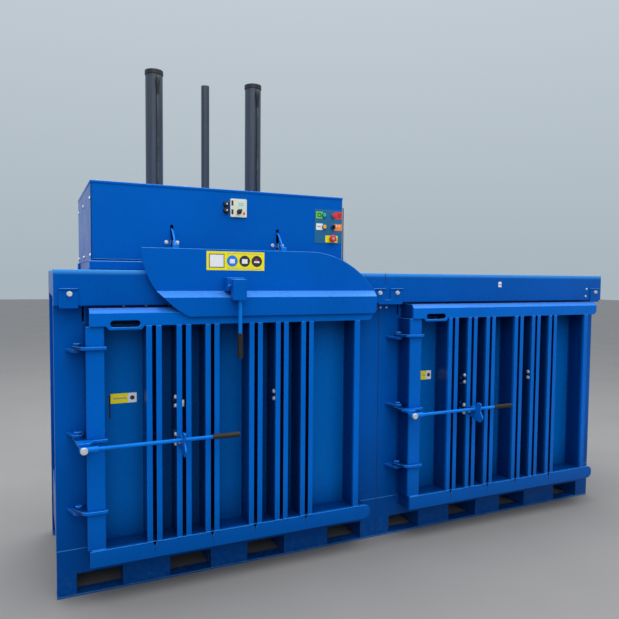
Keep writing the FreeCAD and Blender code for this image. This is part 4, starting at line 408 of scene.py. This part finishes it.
nodeFinish = {
    "rails_left": railPaint, "rails_right": railPaint, "rail_brackets": railPaint,
    "base_left": framePaint, "base_right": framePaint, "shell_left": framePaint,
    "shell_right": framePaint, "frame_lugs": railPaint, "hinge_pins": railPaint,
    "ground_strips": framePaint, "wall_ribs": framePaint,
    "bracket_bolts": zincPlate, "head_screws": zincPlate,
    "lever_bolt_left": zincPlate, "lever_bolt_right": zincPlate,
    "lever_left": leverAndHighlightPaint, "lever_right": leverAndHighlightPaint, "lock_handle": leverAndHighlightPaint,
    "lever_grip_left": plastic["brownGreyGripRubber"],
    "lever_grip_right": plastic["brownGreyGripRubber"],
    "lock_grip": plastic["brownGreyGripRubber"],
    "chamber_floors": floorAndShadowPaint, "platen": floorAndShadowPaint,
    "wheels_left": castIron, "wheels_right": castIron,
    "cylinder_barrels": plastic["slateTubeEnamel"], "guide_tube": plastic["slateTubeEnamel"],
    "cylinder_caps": plastic["blackPolyamide"], "cylinder_pipes": pipeSteel,
    "piston_rods": chromeRod, "guide_bush": bushBronze,
    "hydraulic_unit": plastic["unitGreyEnamel"],
    "control_cabinet": plastic["greyStructureEnamel"],
    "cabinet_door": plastic["greyStructureEnamel"],
    # the hanger arms take the lighter lever paint as a painted highlight
    "apron_hangers": leverAndHighlightPaint, "hanger_brackets": zincPlate,
    "control_plate": plastic["tealFacePlastic"], "green_button": plastic["greenLensPlastic"],
    "red_button": plastic["redButtonPlastic"], "amber_button": plastic["amberLensPlastic"],
    "stop_button": plastic["redButtonPlastic"], "selector": plastic["blackSwitchPlastic"],
    "isolator_plate": plastic["creamSwitchPlastic"],
    "isolator_knob": plastic["blackSwitchPlastic"],
}
doorKinds = ("door_post_", "door_top_bar_", "door_bottom_bar_", "door_pans_", "door_lugs_",
             "lever_catch_")
for side in ("left", "right"):
    for kind in doorKinds:
        nodeFinish[kind + side] = doorPaint
for nodeName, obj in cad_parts.items():
    for slot in obj.material_slots:
        slot.material = nodeFinish.get(nodeName, sheetPaint)
print("CAD nodes finished:", len(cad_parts))


pieceValues = {"mergeMm": 0.001, "sharpFrom": 35.0}


def finishPiece(name, mesh, material, body):
    bmesh.ops.remove_doubles(mesh, verts=mesh.verts, dist=pieceValues["mergeMm"] / 1000.0)
    bmesh.ops.recalc_face_normals(mesh, faces=mesh.faces)
    data = bpy.data.meshes.new(name)
    mesh.to_mesh(data)
    mesh.free()
    data.shade_smooth()
    data.set_sharp_from_angle(angle=math.radians(pieceValues["sharpFrom"]))
    piece = bpy.data.objects.new(name, data)
    bpy.context.collection.objects.link(piece)
    data.materials.append(material)
    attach(piece, body)
    return piece


def addBlock(mesh, low, high, roundMm=0.0, segments=2):
    verts = bmesh.ops.create_cube(mesh, size=1.0)["verts"]
    start, end = at(*low), at(*high)
    bmesh.ops.scale(mesh, vec=end - start, verts=verts)
    bmesh.ops.translate(mesh, vec=(start + end) / 2, verts=verts)
    if roundMm:
        edges = list({edge for vert in verts for edge in vert.link_edges})
        bmesh.ops.bevel(mesh, geom=edges, offset=roundMm / 1000.0, segments=segments,
                        affect="EDGES", profile=0.5, material=-1)


def addTurned(mesh, profile, seat, direction, steps=32):
    # profile holds pairs of a radius and a distance along the direction, as a lathe cuts them
    before = set(mesh.verts)
    points = [mesh.verts.new((radius / 1000.0, 0.0, far / 1000.0)) for radius, far in profile]
    lines = [mesh.edges.new(pair) for pair in zip(points, points[1:])]
    bmesh.ops.spin(mesh, geom=points + lines, cent=(0, 0, 0), axis=(0, 0, 1),
                   angle=2 * math.pi, steps=steps, use_merge=True)
    turned = [vert for vert in mesh.verts if vert not in before]
    turn = Vector((0, 0, 1)).rotation_difference(Vector(direction)).to_matrix().to_4x4()
    bmesh.ops.transform(mesh, matrix=Matrix.Translation(at(*seat)) @ turn, verts=turned)


boltValues = {"washerThick": 1.8, "crown": (2.0, 1.4), "rimShare": 0.3}


def addDisc(mesh, centre, radius, thick, direction=(0, -1, 0), steps=36):
    rim = thick * boltValues["rimShare"]
    addTurned(mesh, [(0, 0), (radius, 0), (radius, thick - rim), (radius - rim, thick),
                     (0, thick)], centre, direction, steps)


def addHexBolt(mesh, seat, direction, flats, height, washer=0.0):
    # hexagon head with a chamfered crown, on a washer where one is given
    thick = boltValues["washerThick"] if washer else 0.0
    if washer:
        addDisc(mesh, seat, washer, thick, direction, 24)
    across = flats / math.sqrt(3)
    inward, down = boltValues["crown"]
    addTurned(mesh, [(0, thick), (across, thick), (across, thick + height - down),
                     (across - inward, thick + height), (0, thick + height)], seat, direction, 6)


weldValues = {"rippleMm": 7.0, "low": 0.78}


def addWeld(mesh, start, end, radius):
    # a run of overlapping ripples laid along the joint
    run = Vector(end) - Vector(start)
    ripples = max(2, round(run.length / weldValues["rippleMm"]))
    count = 2 * ripples
    profile = [(0.0, 0.0)]
    for i in range(count):
        crest = 1.0 if i % 2 else weldValues["low"]
        profile.append((radius * crest, run.length * (i + 0.5) / count))
    profile.append((0.0, run.length))
    addTurned(mesh, profile, start, run.normalized(), 10)


labelFilm = {"glueGap": 0.02, "roundThick": 0.3}


def flatField(name, field, front, ink, body, thick):
    # a patch of vinyl on a face that looks forward, from its left, low, right and top edges
    left, low, right, high = field
    mesh = bmesh.new()
    addBlock(mesh, (left, front - thick, low), (right, front - labelFilm["glueGap"], high))
    finishPiece(name, mesh, vinyl[ink], body)


def roundField(name, x, z, radius, front, ink, body):
    mesh = bmesh.new()
    addDisc(mesh, (x, front, z), radius, labelFilm["roundThick"])
    finishPiece(name, mesh, vinyl[ink], body)


# Door details: beads at the slats' feet in lighter paint as a painted highlight, painted shade in the
# creases under the notches, bolts of the catch
doorValues = {
    "slots": (443.0, 588.0, 732.0, 964.0, 1110.0, 1257.0),
    "notched": (443.0, 732.0, 964.0, 1257.0),
    "slatFromSlot": 23.0,
    "slatWidth": 26.0,
    "endSlat": (1548.0, 1580.0),
    "post": (150.0, 217.0),
    "front": -147.0,
    "barTop": 272.0,
    "slatBead": (0.5, 4.2),       # how far behind the front, and the radius
    "postBead": (10.0, 3.4),
    "crease": (1.6, 24.0),
    "creaseOut": 0.4,
    "creaseOver": 2.0,
    "notchFoot": 246.0,
    "catchFace": 552.0,
    "plainFace": 1074.0,
    "boltBack": 24.0,
    "catchBolts": (740.0, 788.0, 932.0, 975.0),
    "plainBolts": (928.0, 966.0),
    "panBolt": (17.0, 7.6, 12.5),     # across the flats, high, radius of the washer
    "hookBolt": (562.0, -165.0, 757.0),
    "hookBoltHead": (15.0, 6.6),
    "slotBracket": ((578.1, -131.0, 925.0), (592.0, -119.0, 958.0), 1.2),
}


def doorDetails(side):
    v = doorValues
    x0 = 0.0 if side == "left" else machine["pitch"]
    body = machine["doorBodies"][side]
    front, top = v["front"], v["barTop"]

    # the slat beads take the lighter lever paint as a painted highlight
    welds = bmesh.new()
    half = v["slatWidth"] / 2
    centres = [slot + way * v["slatFromSlot"] for slot in v["slots"] for way in (-1, 1)]
    feet = [(centre - half, centre + half) for centre in centres] + [v["endSlat"]]
    for runs, (behind, radius) in ((feet, v["slatBead"]), ([v["post"]], v["postBead"])):
        for start, end in runs:
            addWeld(welds, (x0 + start, front + behind, top), (x0 + end, front + behind, top),
                    radius)
    finishPiece("slatWelds_" + side, welds, leverAndHighlightPaint, body)

    # painted shade: dark strips stand in for the shade in the creases under the notches
    creaseShadows = bmesh.new()
    wide, long = v["crease"]
    out = v["creaseOut"]
    for slot in v["notched"]:
        addBlock(creaseShadows, (x0 + slot - wide, front - out, v["notchFoot"] - long),
                 (x0 + slot + wide, front + out, v["notchFoot"] + v["creaseOver"]))
    finishPiece("notchCreaseShadows_" + side, creaseShadows, plastic["blackPolyamide"], body)

    bolts = bmesh.new()
    toLeft = (-1, 0, 0)
    for face, levels in ((v["catchFace"], v["catchBolts"]), (v["plainFace"], v["plainBolts"])):
        for level in levels:
            addHexBolt(bolts, (x0 + face, front + v["boltBack"], level), toLeft, *v["panBolt"])
    low, high, rounding = v["slotBracket"]
    addBlock(bolts, (x0 + low[0], *low[1:]), (x0 + high[0], *high[1:]), rounding)
    x, y, z = v["hookBolt"]
    addHexBolt(bolts, (x0 + x, y, z), toLeft, *v["hookBoltHead"])
    finishPiece("catchBolts_" + side, bolts, zincPlate, body)


for side in machine["doorBodies"]:
    doorDetails(side)
print("door details made")

# Frame details: painted shade in the seam between the two modules, the beads of the skirt and small fixings
frameValues = {
    "seamX": 1790.0,
    "seam": (1.6, 10.0, 1428.0),
    "seamFaces": (-0.5, 0.4),
    "skirtTop": 236.0,
    "skirtRuns": ((2.0, 142.0), (1566.0, 1788.0), (1792.0, 1932.0), (3357.0, 3578.0)),
    "skirtBead": 2.6,
    "skirtFront": 0.6,
    "railFront": -68.0,
    "railSeam": (1532.0, 1599.0),
    "smallBolts": ((3439.0, 1507.0), (3432.0, 1457.0)),
    "smallBolt": (11.0, 5.0, 8.0),
    "tag": (2643.0, 1520.0, 2668.0, 1554.0),
    "tagThick": 0.8,
    "tagBand": (2646.0, 1532.0, 2665.0, 1540.0),
    "bandThick": 0.3,
}


def frameDetails():
    v = frameValues
    # painted shade: dark strips stand in for the shade in the gap between the two modules, down the column
    # and across the rail
    seam = bmesh.new()
    half, low, high = v["seam"]
    out, behind = v["seamFaces"]
    for face, bottom, top in ((0.0, low, high), (v["railFront"], *v["railSeam"])):
        addBlock(seam, (v["seamX"] - half, face + out, bottom),
                 (v["seamX"] + half, face + behind, top))
    finishPiece("moduleSeamShade", seam, plastic["blackPolyamide"], "chassis")

    welds = bmesh.new()
    for start, end in v["skirtRuns"]:
        addWeld(welds, (start, v["skirtFront"], v["skirtTop"]),
                (end, v["skirtFront"], v["skirtTop"]), v["skirtBead"])
    finishPiece("skirtWelds", welds, railPaint, "chassis")

    bolts = bmesh.new()
    for x, z in v["smallBolts"]:
        addHexBolt(bolts, (x, v["railFront"], z), (0, -1, 0), *v["smallBolt"])
    finishPiece("railEndBolts", bolts, zincPlate, "chassis")
    flatField("railTag", v["tag"], v["railFront"], "White", "chassis", v["tagThick"])
    flatField("railTagBand", v["tagBand"], v["railFront"] - v["tagThick"], "Grey", "chassis",
              v["bandThick"])


frameDetails()
print("frame details made")

# The press head's cover: its edges, and where the tubes come through
coverValues = {
    "left": 172.0,
    "right": 1535.0,
    "back": 870.0,
    "top": 2030.0,
    "tubes": (553.5, 1143.5),
    "guide": 848.5,
    "middle": 435.0,
}

lipValues = {"out": 1.6, "deep": 14.0, "over": 0.5, "in": 1.0, "joint": 0.5, "round": 0.7}


def lidLip():
    # the lid's folded lip runs round the top of the cover
    c, v = coverValues, lipValues
    out, inner, joint = v["out"], v["in"], v["joint"]
    left, right, back = c["left"], c["right"], c["back"]
    lip = bmesh.new()
    for start, end in (((left - out, -out), (right + out, inner)),
                       ((left - out, back - inner), (right + out, back + out)),
                       ((left - out, joint), (left + inner, back - joint)),
                       ((right - inner, joint), (right + out, back - joint))):
        addBlock(lip, (*start, c["top"] - v["deep"]), (*end, c["top"] + v["over"]), v["round"])
    finishPiece("lidLip", lip, sheetPaint, "press_head")


collarValues = {
    "tube": ((48.6, 0), (62, 0), (62, 3), (56, 8), (50.5, 9.5), (48.6, 8), (48.6, 0)),
    "guide": ((24.4, 0), (36, 0), (36, 3), (31, 7), (26, 8), (24.4, 7), (24.4, 0)),
}


def tubeCollars():
    c = coverValues
    collars = bmesh.new()
    for x in c["tubes"]:
        addTurned(collars, collarValues["tube"], (x, c["middle"], c["top"]), (0, 0, 1), 48)
    addTurned(collars, collarValues["guide"], (c["guide"], c["middle"], c["top"]), (0, 0, 1), 40)
    finishPiece("tubeCollars", collars, plastic["blackPolyamide"], "press_head")


fittingValues = {
    "along": 10.0,
    "back": 58.0,
    "top": 2690.0,
    "neck": ((0, 0), (7, 0), (12, -14), (12, -40), (9, -60), (6.6, -104), (0, -104)),
    "branchDown": 26.0,
    "branch": ((0, -2), (11, -2), (11, 14), (9, 16), (0, 16)),
}


def pipeFittings():
    c, v = coverValues, fittingValues
    fittings = bmesh.new()
    for tube in c["tubes"]:
        x, y = tube + v["along"], c["middle"] - v["back"]
        addTurned(fittings, v["neck"], (x, y, v["top"]), (0, 0, 1), 16)
        addTurned(fittings, v["branch"], (x, y, v["top"] - v["branchDown"]), (0, 1, 0), 6)
    finishPiece("pipeFittings", fittings, plastic["blackPolyamide"], "press_head")


keyValues = {
    "seats": ((845.0, 1953.0), (845.0, 1920.0)),
    "collar": ((0, 0), (16.4, 0), (16.4, 3), (15.5, 3.6), (15.4, 11), (13.6, 14.6), (11, 15.4),
               (0, 15.4)),
    "barrel": ((0, 15.3), (4.6, 15.3), (4.2, 16.6), (0, 16.6)),
    "barrelShift": (1.5, 1.0),
}


def keySwitches():
    v = keyValues
    sockets = bmesh.new()
    keys = bmesh.new()
    along, up = v["barrelShift"]
    for x, z in v["seats"]:
        addTurned(sockets, v["collar"], (x, 0, z), (0, -1, 0))
        addTurned(keys, v["barrel"], (x + along, 0, z + up), (0, -1, 0), 20)
    finishPiece("keySwitches", sockets, plastic["blackSwitchPlastic"], "press_head")
    finishPiece("keyBarrels", keys, zincPlate, "press_head")


washerValues = {
    "thick": 1.8,
    "chamfer": 0.6,
    "sets": {
        "hangerWashers": {"hole": 6.2, "radius": 10.0, "direction": (0, -1, 0), "seats": [
            (x, 0.0, 1744.0) for x in (532.5, 588.5, 1108.5, 1164.5)]},
        "sideWashers": {"hole": 6.6, "radius": 11.0, "direction": (-1, 0, 0), "seats": [
            (172.0, y, z) for z in (1670.0, 1945.0) for y in (20.0, 435.0, 810.0)]},
    },
}


def boltWashers():
    thick, chamfer = washerValues["thick"], washerValues["chamfer"]
    for name, v in washerValues["sets"].items():
        hole, radius = v["hole"], v["radius"]
        washers = bmesh.new()
        for seat in v["seats"]:
            addTurned(washers, ((hole, 0), (radius, 0), (radius, thick - chamfer),
                                (radius - chamfer, thick), (hole, thick), (hole, 0)),
                      seat, v["direction"], 24)
        finishPiece(name, washers, zincPlate, "press_head")


coverShadowValues = {
    "runs": (((172.4, 1647.0), (177.0, 2024.0)), ((177.0, 1647.0), (1534.0, 1655.0))),
    "faces": (-0.7, 0.3),
}


def coverShadowLines():
    # painted shadow: where the front sheet laps over the side and the carriage, dark strips stand in for the
    # shade of the open joint
    out, behind = coverShadowValues["faces"]
    shadowLines = bmesh.new()
    for (left, low), (right, high) in coverShadowValues["runs"]:
        addBlock(shadowLines, (left, out, low), (right, behind, high))
    finishPiece("coverShadowLines", shadowLines, floorAndShadowPaint, "press_head")


lockValues = {
    "face": 1571.0,
    "fromFront": 40.0,
    "levels": (1735.0, 1910.0),
    "barrel": ((0, 0), (13, 0), (13, 2), (11.5, 4), (6, 4.4), (5, 3), (0, 3)),
}


def cabinetLocks():
    v = lockValues
    locks = bmesh.new()
    for level in v["levels"]:
        addTurned(locks, v["barrel"], (v["face"], v["fromFront"], level), (1, 0, 0))
    finishPiece("cabinetLocks", locks, plastic["blackPolyamide"], "switch_door")


louvreValues = {"rows": 7, "low": 1730.0, "pitch": 34.0, "columns": (420.0, 900.0),
                "wide": 260.0, "high": 11.0, "faces": (869.0, 876.0), "round": 3.2}


def rearLouvres():
    # pressed louvres let the warm air out of the back of the head
    v = louvreValues
    inner, outer = v["faces"]
    louvres = bmesh.new()
    for row in range(v["rows"]):
        z = v["low"] + v["pitch"] * row
        for x in v["columns"]:
            addBlock(louvres, (x, inner, z), (x + v["wide"], outer, z + v["high"]), v["round"], 3)
    finishPiece("rearLouvres", louvres, sheetPaint, "press_head")


for makePiece in (lidLip, tubeCollars, pipeFittings, keySwitches, boltWashers, coverShadowLines,
                  cabinetLocks, rearLouvres):
    makePiece()
print("head details made")

# Main switch plate: two dark windows, a pale field, a red mark and the turning handle
plateValues = {
    "front": -8.0,
    "windows": ((872.0, 1948.0, 883.0, 1974.0), (872.0, 1902.0, 883.0, 1928.0)),
    "windowThick": 0.6,
    "field": (905.0, 1934.0, 944.0, 1971.0),
    "fieldThick": 0.4,
    "lines": ((911.0, 1958.0, 938.0, 1961.0), (911.0, 1950.0, 938.0, 1953.0)),
    "lineThick": 0.3,
    "mark": (937.0, 1901.0, 947.0, 1915.0),
    "markThick": 0.5,
    "knob": (915.0, -8.3, 1917.0),
    "foot": ((0, 0), (13, 0), (13, 3.2), (11.6, 4.8), (0, 4.8)),
    "handle": (9.6, 32.0, 14.0),
    "handleFoot": 2.0,
    "handleRound": 1.6,
    "handleLean": 45.0,
}


def switchPlate():
    v = plateValues
    for i, window in enumerate(v["windows"]):
        flatField("switchWindow%d" % i, window, v["front"], "Charcoal", "press_head",
                  v["windowThick"])
    flatField("switchField", v["field"], v["front"], "Pale", "press_head", v["fieldThick"])
    for i, line in enumerate(v["lines"]):
        flatField("switchLine%d" % i, line, v["front"] - v["fieldThick"], "Grey", "press_head",
                  v["lineThick"])
    flatField("switchMark", v["mark"], v["front"], "Red", "press_head", v["markThick"])


def switchHandle():
    # a round foot and a bar that leans to the right
    v = plateValues
    x, y, z = v["knob"]
    wide, long, high = v["handle"]
    foot = bmesh.new()
    addTurned(foot, v["foot"], v["knob"], (0, -1, 0))
    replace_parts(finishPiece("switchFoot", foot, plastic["blackPolyamide"], "main_switch"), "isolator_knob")
    handle = bmesh.new()
    addBlock(handle, (x - wide / 2, y - high, z - long / 2),
             (x + wide / 2, y - v["handleFoot"], z + long / 2), v["handleRound"], 3)
    bmesh.ops.rotate(handle, verts=handle.verts, cent=at(x, y, z),
                     matrix=Matrix.Rotation(math.radians(v["handleLean"]), 3, "Y"))
    finishPiece("switchHandle", handle, plastic["blackSwitchPlastic"], "main_switch")


switchPlate()
switchHandle()

# Legend plates beside the buttons, each with a plain generic mark
legendValues = {
    "front": -2.0,
    "plateThick": 0.8,
    "layer": 0.3,
    "plates": {
        "green": ("Green", (1369.0, 1905.0, 1412.0, 1944.0)),
        "red": ("Red", (1484.0, 1905.0, 1533.0, 1946.0)),
        "white": ("White", (1370.0, 1841.0, 1412.0, 1877.0)),
        "orange": ("Orange", (1484.0, 1840.0, 1533.0, 1878.0)),
        "yellow": ("Yellow", (1428.0, 1772.0, 1505.0, 1811.0)),
    },
    # ink, layers of film above the plate, and field
    "marks": (
        ("Charcoal", 1, (1378.0, 1914.0, 1400.0, 1936.0)),
        ("Green", 2, (1383.0, 1919.0, 1395.0, 1931.0)),
        ("Charcoal", 1, (1507.0, 1915.0, 1526.0, 1936.0)),
        ("Red", 2, (1511.0, 1919.0, 1522.0, 1932.0)),
        ("Grey", 1, (1377.0, 1857.0, 1399.0, 1864.0)),
        ("White", 1, (1495.0, 1862.0, 1502.0, 1871.0)),
        ("White", 1, (1512.0, 1862.0, 1519.0, 1871.0)),
        ("Red", 1, (1495.0, 1778.0, 1500.0, 1796.0)),
    ),
    "stopFace": (1468.0, -28.0, 1794.0),
    "stopMark": ((0, -0.6), (7.6, -0.6), (7.0, 0.5), (4.2, 0.5), (3.8, 0.1), (0, 0.1)),
}


def legends():
    v = legendValues
    for key, (ink, field) in v["plates"].items():
        flatField("legend_" + key, field, v["front"], ink, "press_head", v["plateThick"])
    for i, (ink, layers, field) in enumerate(v["marks"]):
        flatField("legendMark%d" % i, field, v["front"], ink, "press_head",
                  v["plateThick"] + layers * v["layer"])
    face = bmesh.new()
    addTurned(face, v["stopMark"], v["stopFace"], (0, -1, 0))
    finishPiece("stopButtonMark", face, plastic["greyMarkPlastic"], "emergency_switch")


legends()
print("switches and legends made")

# Yellow label on the guard: a white patch and three plain rounds
guardLabelValues = {
    "field": (713.0, 1605.0, 1023.0, 1701.0),
    "front": -101.0,
    "filmThick": 0.5,
    "layer": 0.3,
    "patch": (730.0, 1622.0, 802.0, 1684.0),
    "border": 4.0,
    "rounds": ((848.0, "Blue"), (915.0, "Charcoal"), (981.0, "Charcoal")),
    "radius": 29.0,
    "cores": (((835.0, 1641.0, 862.0, 1663.0), "White"), ((900.0, 1640.0, 930.0, 1664.0), "White"),
              ((966.0, 1645.0, 996.0, 1654.0), "White"), ((972.0, 1657.0, 986.0, 1664.0), "Red")),
    "lines": ((822.0, 1690.0, 1008.0, 1692.5), (822.0, 1612.0, 1008.0, 1614.5)),
    "lineThick": 0.2,
}


def guardLabel():
    v = guardLabelValues
    film = v["front"] - v["filmThick"]
    middle = (v["field"][1] + v["field"][3]) / 2
    flatField("guardLabel", v["field"], v["front"], "Yellow", "guard", v["filmThick"])
    left, low, right, high = v["patch"]
    around = (left - v["border"], low - v["border"], right + v["border"], high + v["border"])
    flatField("guardLabelFrame", around, film, "Charcoal", "guard", v["layer"])
    flatField("guardLabelPatch", v["patch"], film - v["layer"], "White", "guard", v["layer"])
    for i, (x, ink) in enumerate(v["rounds"]):
        roundField("guardLabelRound%d" % i, x, middle, v["radius"], film, ink, "guard")
    for i, (field, ink) in enumerate(v["cores"]):
        flatField("guardLabelCore%d" % i, field, film - v["layer"], ink, "guard", v["layer"])
    for i, field in enumerate(v["lines"]):
        flatField("guardLabelLine%d" % i, field, film, "Grey", "guard", v["lineThick"])


guardLabel()

# Small labels on the first pan of each door, with a plain patch at the right end
doorLabelValues = {
    "left": (255.0, 941.0, 380.0, 990.0),
    "right": (2094.0, 943.0, 2171.0, 999.0),
    "front": -8.0,
    "filmThick": 0.5,
    "layer": 0.3,
    "split": {"left": 0.66, "right": 0.5},
    "lineInset": (12.0, 6.0),
    "lineHalf": 3.0,
    "dotRadius": 11.0,
    "slit": (247.0, 868.0, 254.5, 984.0),
    "slitThick": 0.4,
}


def doorLabels():
    v = doorLabelValues
    film = v["front"] - v["filmThick"]
    before, after = v["lineInset"]
    for side, body in machine["doorBodies"].items():
        left, low, right, high = v[side]
        middle = (low + high) / 2
        split = left + (right - left) * v["split"][side]
        line = (left + before, middle - v["lineHalf"], split - after, middle + v["lineHalf"])
        flatField("doorLabel_" + side, v[side], v["front"], "Yellow", body, v["filmThick"])
        flatField("doorLabelLine_" + side, line, film, "Grey", body, v["layer"])
        flatField("doorLabelPatch_" + side, (split, low, right, high), film, "White", body,
                  v["layer"])
        roundField("doorLabelDot_" + side, (split + right) / 2, middle, v["dotRadius"],
                   film - v["layer"], "Charcoal", body)
    flatField("doorSlit", v["slit"], v["front"], "Black", "chassis", v["slitThick"])


doorLabels()
print("labels made")

# The camera stands where the photograph was taken from.
cameraValues = {
    "place": (-74.0, -3062.0, 1570.0),
    "yaw": 24.69,
    "pitch": 3.04,
    "roll": 0.48,
    "lens": 34.7,
    "sensor": 36.0,
    "farClip": 200.0,
}


def setCamera():
    v = cameraValues
    yaw, pitch, roll = (math.radians(v[key]) for key in ("yaw", "pitch", "roll"))
    forward = Vector((math.sin(yaw) * math.cos(pitch), math.cos(yaw) * math.cos(pitch),
                      -math.sin(pitch)))
    level = Vector((math.cos(yaw), -math.sin(yaw), 0.0))
    above = level.cross(forward)
    right = math.cos(roll) * level + math.sin(roll) * above
    up = -math.sin(roll) * level + math.cos(roll) * above
    turn = Matrix((right, up, -forward)).transposed().to_4x4()
    data = bpy.data.cameras.new("photoCamera")
    data.lens = v["lens"]
    data.sensor_width = v["sensor"]
    data.clip_end = v["farClip"]
    camera = bpy.data.objects.new("photoCamera", data)
    bpy.context.collection.objects.link(camera)
    camera.matrix_world = Matrix.Translation(at(*v["place"])) @ turn
    bpy.context.scene.camera = camera


setCamera()

# The studio: a plain matt floor under an even overcast, and two soft lamps
stageValues = {
    "floorHalf": 40.0,
    "floor": "#84827F",
    "floorDark": "#7A7875",
    "floorCloud": 1.1,
    "floorRough": 0.85,
    "skyLight": "#EEF4FF",
    "lightSpan": (-0.1, 0.9),
    "lightStrength": (0.38, 1.35),
    "skyLow": "#AAB6BE",
    "skyHigh": "#DCE6F0",
    "softboxes": {
        "overheadSoftbox": ((1600.0, 500.0, 6200.0), (1790.0, 600.0, 0.0), (9.0, 7.0), 560.0),
        "frontSoftbox": ((-600.0, -5200.0, 4300.0), (1790.0, 0.0, 900.0), (5.0, 3.5), 60.0),
    },
}


def studioFloor():
    v = stageValues
    mesh = bmesh.new()
    bmesh.ops.create_grid(mesh, x_segments=1, y_segments=1, size=v["floorHalf"])
    data = bpy.data.meshes.new("studioFloor")
    mesh.to_mesh(data)
    mesh.free()
    floor = bpy.data.objects.new("studioFloor", data)
    bpy.context.collection.objects.link(floor)
    material, tree, place = startMaterial("paleStudioFloor")
    shade = addNode(tree, "ShaderNodeTexNoise", inputs={
        "Vector": place, "Scale": v["floorCloud"]})
    colour = addNode(tree, "ShaderNodeMix", {"data_type": "RGBA"}, {
        0: shade.outputs["Fac"], 6: hexColour(v["floorDark"]), 7: hexColour(v["floor"])})
    shader = addNode(tree, "ShaderNodeBsdfPrincipled", inputs={
        "Base Color": colour.outputs[2], "Roughness": v["floorRough"]})
    addNode(tree, "ShaderNodeOutputMaterial", inputs={"Surface": shader.outputs["BSDF"]})
    data.materials.append(material)


def studioSky():
    v = stageValues
    world = bpy.data.worlds.new("studioSky")
    bpy.context.scene.world = world
    world.use_nodes = True
    tree = world.node_tree
    tree.nodes.clear()
    way = addNode(tree, "ShaderNodeTexCoord").outputs["Generated"]
    height = addNode(tree, "ShaderNodeSeparateXYZ", inputs={"Vector": way})
    fromAbove = addNode(tree, "ShaderNodeMapRange", inputs={  # an overcast sky, darkest low down
        "Value": height.outputs["Z"], "From Min": v["lightSpan"][0],
        "From Max": v["lightSpan"][1], "To Min": v["lightStrength"][0],
        "To Max": v["lightStrength"][1]})
    light = addNode(tree, "ShaderNodeBackground", inputs={
        "Color": hexColour(v["skyLight"]), "Strength": fromAbove.outputs["Result"]})
    rise = addNode(tree, "ShaderNodeMapRange", inputs={
        "Value": height.outputs["Z"], "From Min": 0.0, "From Max": 1.0})
    shade = addNode(tree, "ShaderNodeMix", {"data_type": "RGBA"}, {
        0: rise.outputs["Result"], 6: hexColour(v["skyLow"]), 7: hexColour(v["skyHigh"])})
    seen = addNode(tree, "ShaderNodeBackground", inputs={
        "Color": shade.outputs[2], "Strength": 1.0})
    rays = addNode(tree, "ShaderNodeLightPath")
    direct = addNode(tree, "ShaderNodeMath", {"operation": "ADD", "use_clamp": True}, {
        0: rays.outputs["Is Camera Ray"], 1: rays.outputs["Is Glossy Ray"]})
    every = addNode(tree, "ShaderNodeMath", {"operation": "ADD", "use_clamp": True}, {
        0: direct.outputs["Value"], 1: rays.outputs["Is Transmission Ray"]})
    mix = addNode(tree, "ShaderNodeMixShader", inputs={
        0: every.outputs["Value"], 1: light.outputs[0], 2: seen.outputs[0]})
    addNode(tree, "ShaderNodeOutputWorld", inputs={"Surface": mix.outputs[0]})


def softboxes():
    for name, (place, target, size, power) in stageValues["softboxes"].items():
        data = bpy.data.lights.new(name, "AREA")
        data.shape = "RECTANGLE"
        data.size, data.size_y = size
        data.energy = power
        lamp = bpy.data.objects.new(name, data)
        bpy.context.collection.objects.link(lamp)
        aim = (at(*target) - at(*place)).to_track_quat("-Z", "Y")
        lamp.matrix_world = Matrix.Translation(at(*place)) @ aim.to_matrix().to_4x4()


studioFloor()
studioSky()
softboxes()
bpy.context.scene.view_settings.view_transform = "Standard"
print("camera, light and floor set")
